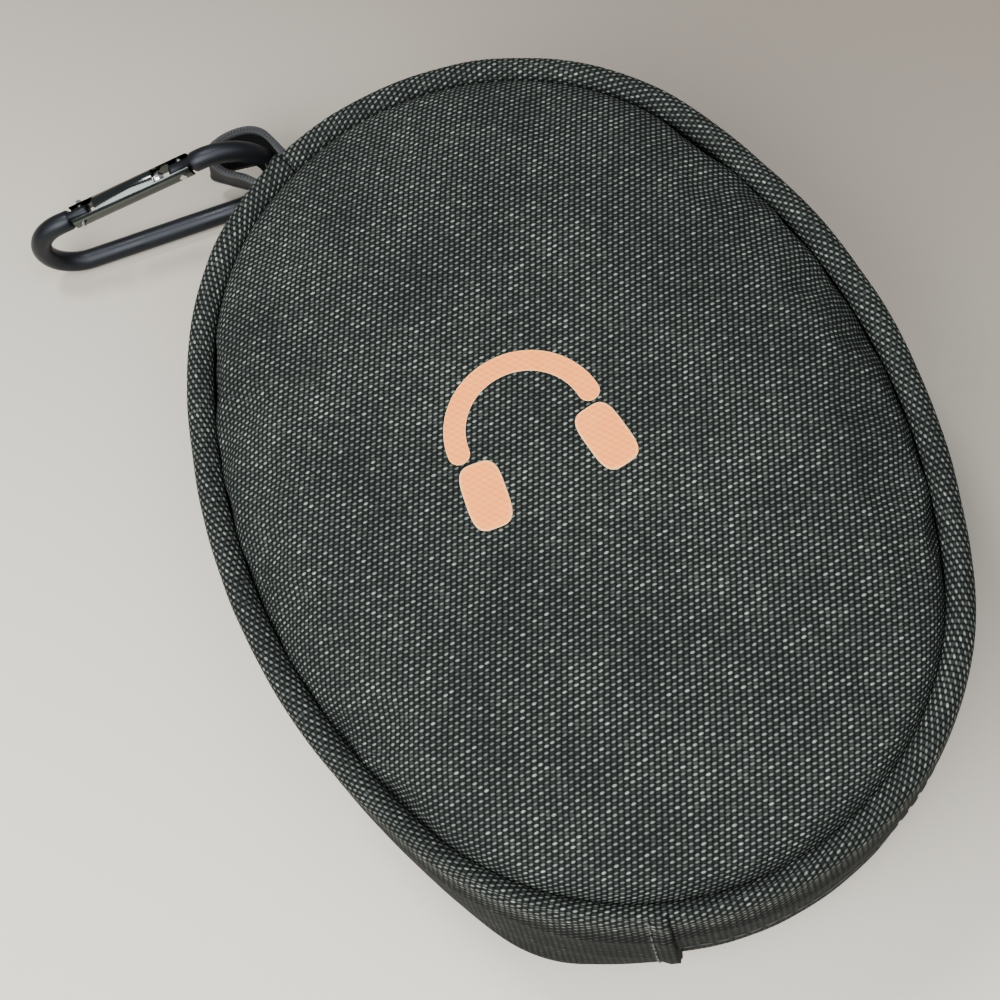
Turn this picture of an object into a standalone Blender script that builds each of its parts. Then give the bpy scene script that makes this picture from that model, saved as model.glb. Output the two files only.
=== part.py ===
"""Padded headphone carrying case with a zip, a hang loop and a snap hook.

The case lies on its back. +Z is up, +Y runs along the long axis towards the hang loop, and the
origin is the centre of the flat rest face. All lengths are written in millimetres and scaled once.
"""
import math

import bmesh
import bpy
from mathutils import Matrix, Vector

MM = 0.001

# Oval seam between a padded panel and the wall
SEAM_LENGTH = 165.0
SEAM_WIDTH = 120.0
END_RADIUS = 54.0
SIDE_RADIUS = (((SEAM_WIDTH / 2) ** 2 + (SEAM_LENGTH / 2 - END_RADIUS) ** 2 - END_RADIUS ** 2)
               / (SEAM_WIDTH - 2 * END_RADIUS))
END_CENTRE_Y = SEAM_LENGTH / 2 - END_RADIUS
SIDE_CENTRE_X = SIDE_RADIUS - SEAM_WIDTH / 2
SIDE_HALF_ANGLE = math.atan2(END_CENTRE_Y, SIDE_CENTRE_X)
END_HALF_ANGLE = math.pi / 2 - SIDE_HALF_ANGLE
END_RUN = END_RADIUS * END_HALF_ANGLE
SIDE_RUN = 2 * SIDE_RADIUS * SIDE_HALF_ANGLE
PERIMETER = 4 * END_RUN + 2 * SIDE_RUN

# Heights above the rest face
BACK_SEAM_Z = 5.0
ZIP_Z = 22.0
FRONT_SEAM_Z = 45.0
DOME_TOP_Z = 53.0

# Where the wall changes from zipped gusset to the plain fabric spine, as runs along the seam
# clockwise from the loop end's tip
SPINE_END_AT_LOOP = -21.0
HEM_RUN = 2 * END_RUN + SIDE_RUN + 19.6
SPINE_BULGE = 2.6

# Layers
GAP = 0.3
SKIN = 1.2
FOAM = 4.0
LINING = 0.8

# Zip
TEETH_GAP = 1.6
TEETH_HEIGHT = 2.1
SLIDER_ARC = math.radians(2.0)
SLIDER_LENGTH = 11.0
SLIDER_HEIGHT = 9.0
PULL_LENGTH = 21.0
PULL_WIDTH = 6.4

# Hang loop and snap hook. The hook stands on its spine in the vertical plane that leaves the
# loop at HOOK_HEADING.
LOOP_WIDTH = 13.0
LOOP_Z = 12.2
LOOP_THICKNESS = 1.3
HOOK_END = (-22.0, 103.2)
HOOK_HEADING = math.radians(171.3)
ROD_RADIUS = 2.25
SPINE_Z = 2.45
SMALL_BEND = 11.2
LARGE_BEND = 8.22
HOOK_LENGTH = 59.0
GATE_RADIUS = 2.5
GATE_BORE = 1.7
PIVOT_ALONG = 19.8
PIVOT_Z = 23.9
LATCH_ALONG = 44.3
LATCH_Z = 19.7
PIN_RADIUS = 0.75

RING_STATIONS = 60
PANEL_STATIONS = 48


def clear_scene():
    for item in list(bpy.data.objects):
        bpy.data.objects.remove(item, do_unlink=True)


def material(name, rgb, roughness, metallic=0.0):
    made = bpy.data.materials.new(name)
    made.use_nodes = True
    shader = made.node_tree.nodes["Principled BSDF"]
    shader.inputs["Base Color"].default_value = (*rgb, 1.0)
    shader.inputs["Roughness"].default_value = roughness
    shader.inputs["Metallic"].default_value = metallic
    made.diffuse_color = (*rgb, 1.0)
    return made


def add_object(name, bm, look, smooth=True):
    """Turn a bmesh in millimetres into a named object in metres with its faces pointing out."""
    bmesh.ops.recalc_face_normals(bm, faces=bm.faces)
    bmesh.ops.scale(bm, vec=(MM, MM, MM), verts=bm.verts)
    mesh = bpy.data.meshes.new(name)
    bm.to_mesh(mesh)
    bm.free()
    if smooth:
        mesh.shade_smooth()
        mesh.set_sharp_from_angle(angle=math.radians(35))
    mesh.materials.append(look)
    made = bpy.data.objects.new(name, mesh)
    bpy.context.collection.objects.link(made)
    return made


def loft(rings, closed):
    """Skin closed profile rings; the last ring joins the first when closed, else both are capped."""
    bm = bmesh.new()
    grid = [[bm.verts.new(point) for point in ring] for ring in rings]
    size = len(rings[0])
    pairs = list(zip(grid, grid[1:]))
    if closed:
        pairs.append((grid[-1], grid[0]))
    for near, far in pairs:
        for index in range(size):
            after = (index + 1) % size
            bm.faces.new((near[index], near[after], far[after], far[index]))
    if not closed:
        bm.faces.new(grid[0])
        bm.faces.new(grid[-1])
    return bm


def seam_point(run):
    """Point on the seam oval and its outward normal, a given run clockwise from the top tip."""
    run = run % PERIMETER
    if run < END_RUN:
        turn = math.pi / 2 - run / END_RADIUS
        centre, radius = Vector((0, END_CENTRE_Y)), END_RADIUS
    elif run < END_RUN + SIDE_RUN:
        turn = SIDE_HALF_ANGLE - (run - END_RUN) / SIDE_RADIUS
        centre, radius = Vector((-SIDE_CENTRE_X, 0)), SIDE_RADIUS
    elif run < 3 * END_RUN + SIDE_RUN:
        turn = -SIDE_HALF_ANGLE - (run - END_RUN - SIDE_RUN) / END_RADIUS
        centre, radius = Vector((0, -END_CENTRE_Y)), END_RADIUS
    elif run < 3 * END_RUN + 2 * SIDE_RUN:
        turn = math.pi + SIDE_HALF_ANGLE - (run - 3 * END_RUN - SIDE_RUN) / SIDE_RADIUS
        centre, radius = Vector((SIDE_CENTRE_X, 0)), SIDE_RADIUS
    else:
        turn = math.pi - SIDE_HALF_ANGLE - (run - 3 * END_RUN - 2 * SIDE_RUN) / END_RADIUS
        centre, radius = Vector((0, END_CENTRE_Y)), END_RADIUS
    normal = Vector((math.cos(turn), math.sin(turn)))
    return centre + normal * radius, normal


def wall_strip(name, profile, look, start=0.0, stop=None, shift=None):
    """Sweep a profile of (outward, height) points along the seam, whole way round or in a run."""
    whole = stop is None
    length = PERIMETER if whole else stop - start
    stations = max(4, round(RING_STATIONS * length / PERIMETER))
    steps = stations if whole else stations + 1
    rings = []
    for step in range(steps):
        run = start + length * step / stations
        point, normal = seam_point(run)
        ring = []
        for outward, height in profile:
            extra = shift(run - start, height) if shift else 0.0
            spot = point + normal * (outward + extra)
            ring.append((spot.x, spot.y, height))
        rings.append(ring)
    return add_object(name, loft(rings, whole), look)


def padded_sheet(name, outer, inner, look):
    """Closed dished sheet: outer and inner are (scale of the seam oval, height) from rim to centre."""
    bm = bmesh.new()

    def side(steps):
        rows = []
        for scale, height in steps[:-1]:
            row = []
            for step in range(PANEL_STATIONS):
                point, _ = seam_point(PERIMETER * step / PANEL_STATIONS)
                row.append(bm.verts.new((point.x * scale, point.y * scale, height)))
            rows.append(row)
        middle = bm.verts.new((0, 0, steps[-1][1]))
        for near, far in zip(rows, rows[1:]):
            for index in range(PANEL_STATIONS):
                after = (index + 1) % PANEL_STATIONS
                bm.faces.new((near[index], near[after], far[after], far[index]))
        for index in range(PANEL_STATIONS):
            bm.faces.new((rows[-1][index], rows[-1][(index + 1) % PANEL_STATIONS], middle))
        return rows[0]

    rim_out, rim_in = side(outer), side(inner)
    for index in range(PANEL_STATIONS):
        after = (index + 1) % PANEL_STATIONS
        bm.faces.new((rim_out[index], rim_out[after], rim_in[after], rim_in[index]))
    return add_object(name, bm, look)


def offset_steps(steps, drop, rim_scale):
    """The same dish moved by drop, from a smaller rim inwards."""
    moved = [(rim_scale, dish_height(steps, rim_scale) + drop)]
    moved += [(scale, height + drop) for scale, height in steps if scale in INNER_SCALES]
    return moved


def dish_height(steps, scale):
    for (wide, edge), (narrow, crown) in zip(steps, steps[1:]):
        if narrow <= scale <= wide:
            return edge + (crown - edge) * (wide - scale) / (wide - narrow)
    return steps[-1][1]


FRONT_DISH = [(0.995, FRONT_SEAM_Z - 1.6), (0.99, 46.4), (0.972, 47.7), (0.92, 48.9),
              (0.78, 50.6), (0.56, 52.0), (0.3, 52.8), (0.0, DOME_TOP_Z)]
BACK_DISH = [(0.995, BACK_SEAM_Z + 1.6), (0.99, 3.4), (0.965, 1.7), (0.91, 0.5),
             (0.83, 0.0), (0.0, 0.0)]
# Rings that the foam and the lining keep
INNER_SCALES = (0.92, 0.91, 0.83, 0.78, 0.56, 0.0)


def build_panels(prefix, dish, side, looks):
    """Skin, foam and lining of one face; side is -1 where the layers stack down, 1 where up."""
    parts = []
    skin_in = [(0.965, dish_height(dish, 0.965) + side * SKIN)]
    skin_in += [(scale, height + side * SKIN) for scale, height in dish if scale < 0.96]
    skin_in.insert(0, (0.978, dish[0][1]))
    parts.append(padded_sheet(prefix + "_panel", dish, skin_in, looks["weave"]))
    foam_top = SKIN + GAP
    foam_low = foam_top + FOAM
    outer = offset_steps(dish, side * foam_top, 0.955)
    inner = offset_steps(dish, side * foam_low, 0.955)
    parts.append(padded_sheet(prefix + "_foam", outer, inner, looks["foam"]))
    top = foam_low + GAP
    outer = offset_steps(dish, side * top, 0.945)
    inner = offset_steps(dish, side * (top + LINING), 0.945)
    parts.append(padded_sheet(prefix + "_lining", outer, inner, looks["lining"]))
    return parts


def gusset_profile(seam_z, edge_z, face):
    """Rolled rim at the seam and a wall down to the zip; face is 1 for front, -1 for back."""
    shape = [(0.3, -1.8), (0.7, 0.5), (2.3, 1.3), (3.8, 0.3), (4.5, -2.2), (4.4, -8.0)]
    outer = [(outward, seam_z + face * height) for outward, height in shape]
    if face < 0:
        outer = [(outward - 0.6, height) for outward, height in outer[2:]]
        outer = [(0.3, seam_z + 1.8), (0.7, seam_z - 0.5)] + outer
    foot = 4.1 if face > 0 else 3.8
    outer.append((foot, edge_z))
    inner = [(1.8, edge_z), (1.8, seam_z - face * 8.0), (1.6, seam_z - face * 3.6), (0.3, seam_z - face * 3.6)]
    return outer + inner


def build_walls(looks):
    """Gussets, zip halves, bindings and linings along the run that opens, and the fabric spine."""
    start = SPINE_END_AT_LOOP + GAP
    stop = HEM_RUN - GAP
    front_edge = ZIP_Z + 5.0
    back_edge = ZIP_Z - 5.0
    half_gap = TEETH_GAP / 2
    wall_strip("front_gusset", gusset_profile(FRONT_SEAM_Z, front_edge, 1), looks["weave"], start, stop)
    wall_strip("back_gusset", gusset_profile(BACK_SEAM_Z, back_edge, -1), looks["weave"], start, stop)
    for prefix, face in (("front", 1), ("back", -1)):
        near, far = ZIP_Z + face * half_gap, ZIP_Z + face * 11.0
        tape = [(0.6, near), (1.4, near), (1.4, far), (0.6, far)]
        wall_strip(prefix + "_zip_tape", tape, looks["tape"], start, stop)
        tip = near + face * TEETH_HEIGHT
        teeth = [(1.7, near), (3.6, near), (3.9, (near + tip) / 2), (3.6, tip), (1.7, tip)]
        wall_strip(prefix + "_zip_teeth", teeth, looks["zip"], start + 3.0, stop - 3.0)
        edge = ZIP_Z + face * 5.5
        low = FRONT_SEAM_Z - 6.0 if face > 0 else BACK_SEAM_Z + 6.0
        lining = [(-0.5, edge), (0.3, edge), (0.3, low), (-0.5, low)]
        wall_strip(prefix + "_wall_lining", lining, looks["lining"], start, stop)
        seam = FRONT_SEAM_Z if face > 0 else BACK_SEAM_Z
        tip, root = seam - face * 5.4, seam - face * 3.9
        binding = [(-4.4, tip), (-0.4, tip), (-0.4, root), (-4.4, root)]
        wall_strip(prefix + "_binding", binding, looks["tape"])
    front = gusset_profile(FRONT_SEAM_Z, front_edge, 1)
    back = gusset_profile(BACK_SEAM_Z, back_edge, -1)
    outer = front[:6] + [(4.6, 28.0), (4.5, 20.0)] + back[:6][::-1]
    inner = [back[-1], back[-2], back[-3], front[-3], front[-2], front[-1]]
    wall_strip("spine", outer + inner, looks["weave"], HEM_RUN, PERIMETER + SPINE_END_AT_LOOP, spine_shift)
    lining = [(-0.5, BACK_SEAM_Z + 6.0), (0.6, BACK_SEAM_Z + 6.0), (0.6, FRONT_SEAM_Z - 6.0),
              (-0.5, FRONT_SEAM_Z - 6.0)]
    wall_strip("spine_lining", lining, looks["lining"], HEM_RUN + GAP,
               PERIMETER + SPINE_END_AT_LOOP - GAP)


def spine_shift(run, height):
    """The lower corner of the spine bags out near the hem."""
    along = math.exp(-((run - 17.0) / 13.0) ** 2)
    upright = math.exp(-((height - 11.0) / 11.0) ** 2)
    return SPINE_BULGE * along * upright


def box(bm, low, high):
    """Axis-aligned block between two corners."""
    size = Vector(high) - Vector(low)
    middle = (Vector(high) + Vector(low)) / 2
    place = Matrix.Translation(middle) @ Matrix.Diagonal((*size, 1.0))
    bmesh.ops.create_cube(bm, size=1.0, matrix=place)


def cutter(name, bm):
    """A cutting body that the model leaves out."""
    bmesh.ops.recalc_face_normals(bm, faces=bm.faces)
    bmesh.ops.scale(bm, vec=(MM, MM, MM), verts=bm.verts)
    mesh = bpy.data.meshes.new(name)
    bm.to_mesh(mesh)
    bm.free()
    made = bpy.data.objects.new(name, mesh)
    bpy.context.collection.objects.link(made)
    made.hide_render = True
    made.display_type = "WIRE"
    return made


def combine(target, tool, operation="DIFFERENCE"):
    modifier = target.modifiers.new(tool.name, "BOOLEAN")
    modifier.operation = operation
    modifier.solver = "EXACT"
    modifier.object = tool


def extrude_outline(points, low, high):
    """Prism over a closed outline of (u, v) points between two levels of w."""
    return loft([[(u, v, low) for u, v in points], [(u, v, high) for u, v in points]], False)


def empty(name, place, heading=0.0):
    made = bpy.data.objects.new(name, None)
    made.location = Vector(place) * MM
    made.rotation_euler = (0, 0, heading)
    bpy.context.collection.objects.link(made)
    return made


def build_slider(looks):
    """Slider with two plates and a neck, its crown, and the pull on a cross bar under the crown.

    The pieces are drawn with x along the travel, y outwards from the end centre and z up.
    """
    track = empty("zip_track", (0, END_CENTRE_Y, 0), -SLIDER_ARC)
    radius = END_RADIUS
    half = SLIDER_LENGTH / 2
    low, high = ZIP_Z - SLIDER_HEIGHT / 2, ZIP_Z + SLIDER_HEIGHT / 2
    section = [(-1.3, low), (0.0, low), (0.0, ZIP_Z - 0.5), (4.3, ZIP_Z - 0.5), (4.3, low), (5.4, low),
               (5.4, high), (4.3, high), (4.3, ZIP_Z + 0.5), (0.0, ZIP_Z + 0.5), (0.0, high), (-1.3, high)]
    rings = [[(x, radius + out, z) for out, z in section] for x in (-half, half)]
    body = add_object("slider_body", loft(rings, False), looks["zinc"])
    body.parent = track
    top = radius + 5.4
    arch = [(-4.3, top - 0.4), (-4.3, top + 1.6), (-3.1, top + 2.9), (3.1, top + 2.9), (4.3, top + 1.6),
            (4.3, top - 0.4), (3.2, top - 0.4), (3.2, top + 1.2), (2.6, top + 1.9), (-2.6, top + 1.9),
            (-3.2, top + 1.2), (-3.2, top - 0.4)]
    crown = cutter("slider_crown_form", extrude_outline(arch, ZIP_Z - 1.2, ZIP_Z + 1.2))
    crown.parent = track
    combine(body, crown, "UNION")
    bar_y = top + 1.0
    pivot = empty("pull_pivot", (0, bar_y, ZIP_Z))
    pivot.parent = track
    reach = 5.4
    frame = bmesh.new()
    box(frame, (-0.65, -0.6, -3.0), (PULL_LENGTH - 9.0, 0.6, 3.0))
    pull = add_object("pull_tab", frame, looks["zinc"])
    pull.parent = pivot
    window = bmesh.new()
    box(window, (0.65, -2.0, -1.75), (reach, 2.0, 1.75))
    hole = cutter("pull_window_form", window)
    hole.parent = pivot
    combine(pull, hole)
    grip = bmesh.new()
    start, end, half_width = 8.0, PULL_LENGTH, PULL_WIDTH / 2
    box(grip, (start, -1.2, -half_width), (end, 1.2, half_width))
    sides = [edge for edge in grip.edges if abs(edge.verts[0].co.y - edge.verts[1].co.y) > 1.0]
    bmesh.ops.bevel(grip, geom=sides, offset=1.6, segments=4, affect="EDGES", profile=0.5)
    cover = add_object("pull_grip", grip, looks["rubber"])
    cover.parent = pivot
    core = bmesh.new()
    box(core, (0.0, -0.6 - GAP, -3.0 - 0.01), (PULL_LENGTH - 9.0 + GAP, 0.6 + GAP, 3.0 + 0.01))
    pocket = cutter("grip_pocket_form", core)
    pocket.parent = pivot
    combine(cover, pocket)


def build_stops(looks):
    """Crimped stops at the two ends of the teeth."""
    for name, run in (("zip_top_stop", SPINE_END_AT_LOOP + 1.6), ("zip_bottom_stop", HEM_RUN - 1.6)):
        point, normal = seam_point(run)
        along = Vector((-normal.y, normal.x))
        rings = []
        for side in (-0.9, 0.9):
            ring = []
            for outward, height in ((1.7, -0.6), (3.4, -0.6), (3.4, -2.8), (1.7, -2.8)):
                spot = point + normal * outward + along * side
                ring.append((spot.x, spot.y, ZIP_Z + height))
            rings.append(ring)
        add_object(name, loft(rings, False), looks["zinc"], smooth=False)


def loop_path():
    """Plan of the ribbon: out past the hook's end rod, round it inside the hook, and back."""
    root, normal = seam_point(SPINE_END_AT_LOOP - 1.2)
    root = root + normal * (4.5 + GAP + 0.6)
    return [root + Vector((1.2, 0.5)), Vector((-17.6, 93.0)), Vector((-17.8, 101.5)),
            Vector((-22.6, 109.6)), Vector((-29.5, 112.4)), Vector((-35.6, 111.0)),
            Vector((-34.2, 105.4)), Vector((-30.0, 100.4)), Vector((-26.2, 94.0)), root + Vector((-1.2, -0.5))]


def smooth_path(knots, steps):
    """Catmull-Rom curve through the knots."""
    ends = [knots[0] * 2 - knots[1]] + list(knots) + [knots[-1] * 2 - knots[-2]]
    points = []
    for before, here, there, after in zip(ends, ends[1:], ends[2:], ends[3:]):
        for step in range(steps):
            t = step / steps
            points.append(0.5 * (2 * here + (there - before) * t
                                 + (2 * before - 5 * here + 4 * there - after) * t * t
                                 + (3 * here - before - 3 * there + after) * t ** 3))
    return points + [knots[-1]]


def build_loop(looks):
    """Ribbon loop that stands on edge, low enough to pass between the hook's rod and its gate."""
    points = smooth_path(loop_path(), 5)
    low, high = LOOP_Z - LOOP_WIDTH / 2, LOOP_Z + LOOP_WIDTH / 2
    rings = []
    for index, point in enumerate(points):
        before = points[max(index - 1, 0)]
        after = points[min(index + 1, len(points) - 1)]
        along = (after - before).normalized()
        side = Vector((along.y, -along.x)) * (LOOP_THICKNESS / 2)
        rings.append([(point.x + side.x, point.y + side.y, low), (point.x + side.x, point.y + side.y, high),
                      (point.x - side.x, point.y - side.y, high), (point.x - side.x, point.y - side.y, low)])
    add_object("hang_loop", loft(rings, False), looks["ribbon"])


def hook_frame():
    """Parent for the hook: local x runs from the loop end, local z is up, local y is its normal."""
    return empty("hook_frame", (*HOOK_END, 0), HOOK_HEADING)


def hook_stations():
    """Centre line of the rod from the gate's pivot round to the nose, with the section's sizes."""
    small = Vector((ROD_RADIUS + SMALL_BEND, SPINE_Z + SMALL_BEND))
    large = Vector((HOOK_LENGTH - ROD_RADIUS - LARGE_BEND, SPINE_Z + LARGE_BEND))
    pivot = Vector((PIVOT_ALONG, PIVOT_Z))
    latch = Vector((LATCH_ALONG, LATCH_Z))
    way = (latch - pivot).normalized()
    meet = 90 + math.degrees(math.atan2(way.y, way.x))
    line = [(pivot + way * 2.6, 0.95, 1.0),
            (pivot + way * 2.0, 0.95, 1.7),
            (pivot - way * 2.8, 0.95, 1.75),
            (pivot - way * 3.6, ROD_RADIUS, 2.1)]
    for step in range(11):
        turn = math.radians(meet + step * (270 - meet) / 10)
        line.append((small + Vector((math.cos(turn), math.sin(turn))) * SMALL_BEND, ROD_RADIUS, ROD_RADIUS))
    for step in range(1, 4):
        along = small.x + (large.x - small.x) * step / 4
        line.append((Vector((along, SPINE_Z)), ROD_RADIUS, ROD_RADIUS))
    for step in range(13):
        turn = math.radians(-90 + step * (meet + 90) / 12)
        line.append((large + Vector((math.cos(turn), math.sin(turn))) * LARGE_BEND, ROD_RADIUS, ROD_RADIUS))
    line.append((latch + way * 2.9, ROD_RADIUS, 2.1))
    line.append((latch + way * 2.1, 0.95, 1.75))
    line.append((latch - way * 1.4, 0.95, 1.7))
    line.append((latch - way * 2.0, 0.95, 1.0))
    return line


def rod_rings(line, sides=10):
    rings = []
    for index, (centre, half_across, half_tall) in enumerate(line):
        before = line[max(index - 1, 0)][0]
        after = line[min(index + 1, len(line) - 1)][0]
        along = (after - before).normalized()
        up = Vector((-along.y, along.x))
        ring = []
        for step in range(sides):
            turn = 2 * math.pi * (step + 0.5) / sides
            spot = centre + up * (half_tall * math.sin(turn))
            ring.append((spot.x, half_across * math.cos(turn), spot.y))
        rings.append(ring)
    return rings


def cross_pin(along, height, radius, half_length, sides=16):
    """Cylinder across the hook's plane."""
    bm = bmesh.new()
    turn = Matrix.Translation((along, 0, height)) @ Matrix.Rotation(math.pi / 2, 4, "X")
    bmesh.ops.create_cone(bm, cap_ends=True, segments=sides, radius1=radius, radius2=radius,
                          depth=2 * half_length, matrix=turn)
    return bm


def tilted(bm, along, height, slope):
    """Place a body drawn along +x from the pivot onto the gate's line."""
    place = Matrix.Translation((along, 0, height)) @ Matrix.Rotation(-slope, 4, "Y")
    bmesh.ops.transform(bm, matrix=place, verts=bm.verts)
    return bm


def tube(length_low, length_high, outer, inner, sides=20):
    """Open tube along +x between two stations."""
    rings = []
    for along, radius in ((length_low, outer), (length_high, outer), (length_high, inner), (length_low, inner)):
        rings.append([(along, radius * math.cos(2 * math.pi * step / sides),
                       radius * math.sin(2 * math.pi * step / sides)) for step in range(sides)])
    return loft(rings, True)


def solid_rod(stations, sides=16):
    """Solid of revolution along +x through (along, radius) stations."""
    rings = []
    for along, radius in stations:
        rings.append([(along, radius * math.cos(2 * math.pi * step / sides),
                       radius * math.sin(2 * math.pi * step / sides)) for step in range(sides)])
    return loft(rings, False)


def coil_spring(start, stop, radius, wire, turns, steps_per_turn, sides):
    """Round wire helix along +x."""
    rings = []
    count = turns * steps_per_turn
    for step in range(count + 1):
        turn = 2 * math.pi * step / steps_per_turn
        along = start + (stop - start) * step / count
        out = Vector((0, math.cos(turn), math.sin(turn)))
        ring = []
        for side in range(sides):
            angle = 2 * math.pi * side / sides
            spot = out * (radius + wire * math.cos(angle))
            ring.append((along + wire * math.sin(angle), spot.y, spot.z))
        rings.append(ring)
    return loft(rings, False)


def build_hook(looks):
    """Hook rod, its sprung gate and the gate's pins."""
    frame = hook_frame()
    slope = math.atan2(LATCH_Z - PIVOT_Z, LATCH_ALONG - PIVOT_ALONG)
    reach = math.hypot(LATCH_Z - PIVOT_Z, LATCH_ALONG - PIVOT_ALONG)

    body = add_object("hook_body", loft(rod_rings(hook_stations()), False), looks["black_metal"])
    pivot_hole = cutter("pivot_hole_form", cross_pin(PIVOT_ALONG, PIVOT_Z, PIN_RADIUS + GAP, 4.0))
    combine(body, pivot_hole)
    notch = bmesh.new()
    box(notch, (-PIN_RADIUS - GAP, -4.0, -3.0), (PIN_RADIUS + GAP, 4.0, PIN_RADIUS + GAP))
    bmesh.ops.translate(notch, vec=(LATCH_ALONG, 0, LATCH_Z), verts=notch.verts)
    notch_form = cutter("latch_notch_form", notch)
    combine(body, notch_form)

    gate = add_object("gate_tube", tilted(tube(-2.4, reach + 2.0, GATE_RADIUS, GATE_BORE),
                                          PIVOT_ALONG, PIVOT_Z, slope), looks["black_gloss"])
    slots = bmesh.new()
    box(slots, (-4.0, -1.3, -4.0), (6.2, 1.3, 4.0))
    pivot_slot = cutter("pivot_slot_form", tilted(slots, PIVOT_ALONG, PIVOT_Z, slope))
    slots = bmesh.new()
    box(slots, (reach - 4.2, -1.3, -4.0), (reach + 4.0, 1.3, 4.0))
    latch_slot = cutter("latch_slot_form", tilted(slots, PIVOT_ALONG, PIVOT_Z, slope))
    combine(gate, pivot_slot)
    combine(gate, latch_slot)
    combine(gate, pivot_hole)
    latch_hole = cutter("latch_hole_form", cross_pin(LATCH_ALONG, LATCH_Z, PIN_RADIUS - 0.1 + GAP, 4.0))
    combine(gate, latch_hole)

    pivot_pin = add_object("gate_pivot_pin", cross_pin(PIVOT_ALONG, PIVOT_Z, PIN_RADIUS, 2.6), looks["steel"])
    latch_pin = add_object("gate_latch_pin", cross_pin(LATCH_ALONG, LATCH_Z, PIN_RADIUS - 0.1, 3.4),
                           looks["steel"])
    plunger = add_object("gate_plunger", tilted(solid_rod([(4.3, 0.6), (5.0, 1.3), (9.0, 1.3)]),
                                                PIVOT_ALONG, PIVOT_Z, slope), looks["steel"])
    spring = add_object("gate_spring", tilted(coil_spring(9.6, 17.0, 1.1, 0.22, 5, 8, 5),
                                              PIVOT_ALONG, PIVOT_Z, slope), looks["steel"])
    for piece in (body, pivot_hole, notch_form, gate, pivot_slot, latch_slot, latch_hole, pivot_pin,
                  latch_pin, plunger, spring):
        piece.parent = frame


def mark_height(x, y):
    """Height of the panel under the printed mark."""
    reach = max(math.hypot(x / SEAM_WIDTH * 2, y / SEAM_LENGTH * 2), 0.001)
    return dish_height(FRONT_DISH, min(reach, 0.9))


def build_mark(looks):
    """Printed headphone pictogram: a headband arc that widens into two ear pads."""
    band_radius, band_width = 12.7, 4.0
    centre_y = 1.4
    inner, outer = [], []
    steps = 26
    for step in range(steps + 1):
        turn = math.radians(-22 + step * 224 / steps)
        edge = min(step, steps - step)
        pad = 1.0 if edge <= 4 else 0.0
        if edge == 0 or edge == 4:
            pad = 0.55
        near = band_radius - band_width / 2 - 3.6 * pad
        far = band_radius + band_width / 2 + 0.8 * pad
        way = Vector((math.cos(turn), math.sin(turn)))
        inner.append(Vector((0, centre_y)) + way * near)
        outer.append(Vector((0, centre_y)) + way * far)
    rings = []
    for near, far in zip(inner, outer):
        ring = []
        for spot, lift in ((near, GAP), (far, GAP), (far, 2 * GAP), (near, 2 * GAP)):
            ring.append((spot.x - 3.2, spot.y, mark_height(spot.x - 3.2, spot.y) + lift))
        rings.append(ring)
    add_object("printed_mark", loft(rings, False), looks["print"], smooth=False)


def main():
    clear_scene()
    looks = {
        "weave": material("woven_nylon", (0.014, 0.016, 0.016), 0.62),
        "foam": material("foam", (0.05, 0.05, 0.052), 0.9),
        "lining": material("lining", (0.02, 0.02, 0.021), 0.85),
        "tape": material("zip_tape", (0.01, 0.01, 0.011), 0.6),
        "zip": material("zip_coil", (0.012, 0.012, 0.013), 0.4),
        "zinc": material("black_zinc", (0.02, 0.02, 0.021), 0.35, 0.8),
        "rubber": material("pull_rubber", (0.015, 0.015, 0.016), 0.6),
        "ribbon": material("ribbon", (0.012, 0.013, 0.014), 0.6),
        "black_metal": material("black_aluminium", (0.02, 0.02, 0.023), 0.38, 0.7),
        "black_gloss": material("polished_black_aluminium", (0.03, 0.032, 0.034), 0.16, 0.9),
        "steel": material("steel", (0.6, 0.6, 0.58), 0.25, 1.0),
        "print": material("peach_print", (0.86, 0.52, 0.38), 0.5),
    }
    build_panels("front", FRONT_DISH, -1, looks)
    build_panels("back", BACK_DISH, 1, looks)
    build_walls(looks)
    build_mark(looks)
    build_slider(looks)
    build_stops(looks)
    build_loop(looks)
    build_hook(looks)


main()
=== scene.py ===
"""Headphone carrying case: woven shell, padded faces, zip, ribbon loop and snap hook."""
import math

import bmesh
import bpy
import numpy as np
from mathutils import Matrix, Vector, noise
from mathutils.bvhtree import BVHTree


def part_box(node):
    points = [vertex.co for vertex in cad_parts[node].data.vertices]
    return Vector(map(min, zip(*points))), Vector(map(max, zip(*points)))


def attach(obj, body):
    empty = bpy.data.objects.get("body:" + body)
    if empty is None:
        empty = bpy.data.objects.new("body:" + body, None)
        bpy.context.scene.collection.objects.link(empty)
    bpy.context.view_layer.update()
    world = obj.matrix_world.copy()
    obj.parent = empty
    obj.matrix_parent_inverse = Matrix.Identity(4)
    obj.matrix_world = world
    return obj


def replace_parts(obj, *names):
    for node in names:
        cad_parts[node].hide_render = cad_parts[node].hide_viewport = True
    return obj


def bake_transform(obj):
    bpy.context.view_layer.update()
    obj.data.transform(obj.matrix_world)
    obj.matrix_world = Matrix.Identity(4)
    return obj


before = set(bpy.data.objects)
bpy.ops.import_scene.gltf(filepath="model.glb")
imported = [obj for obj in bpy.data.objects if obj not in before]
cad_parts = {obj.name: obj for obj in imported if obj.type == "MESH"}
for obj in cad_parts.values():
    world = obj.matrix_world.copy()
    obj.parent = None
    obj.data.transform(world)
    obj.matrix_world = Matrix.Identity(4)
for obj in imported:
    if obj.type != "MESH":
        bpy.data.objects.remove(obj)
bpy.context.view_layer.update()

MM = 0.001


def node_box(name):
    """A CAD node's corners in millimetres."""
    low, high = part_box(name)
    return Vector(low) / MM, Vector(high) / MM


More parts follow.
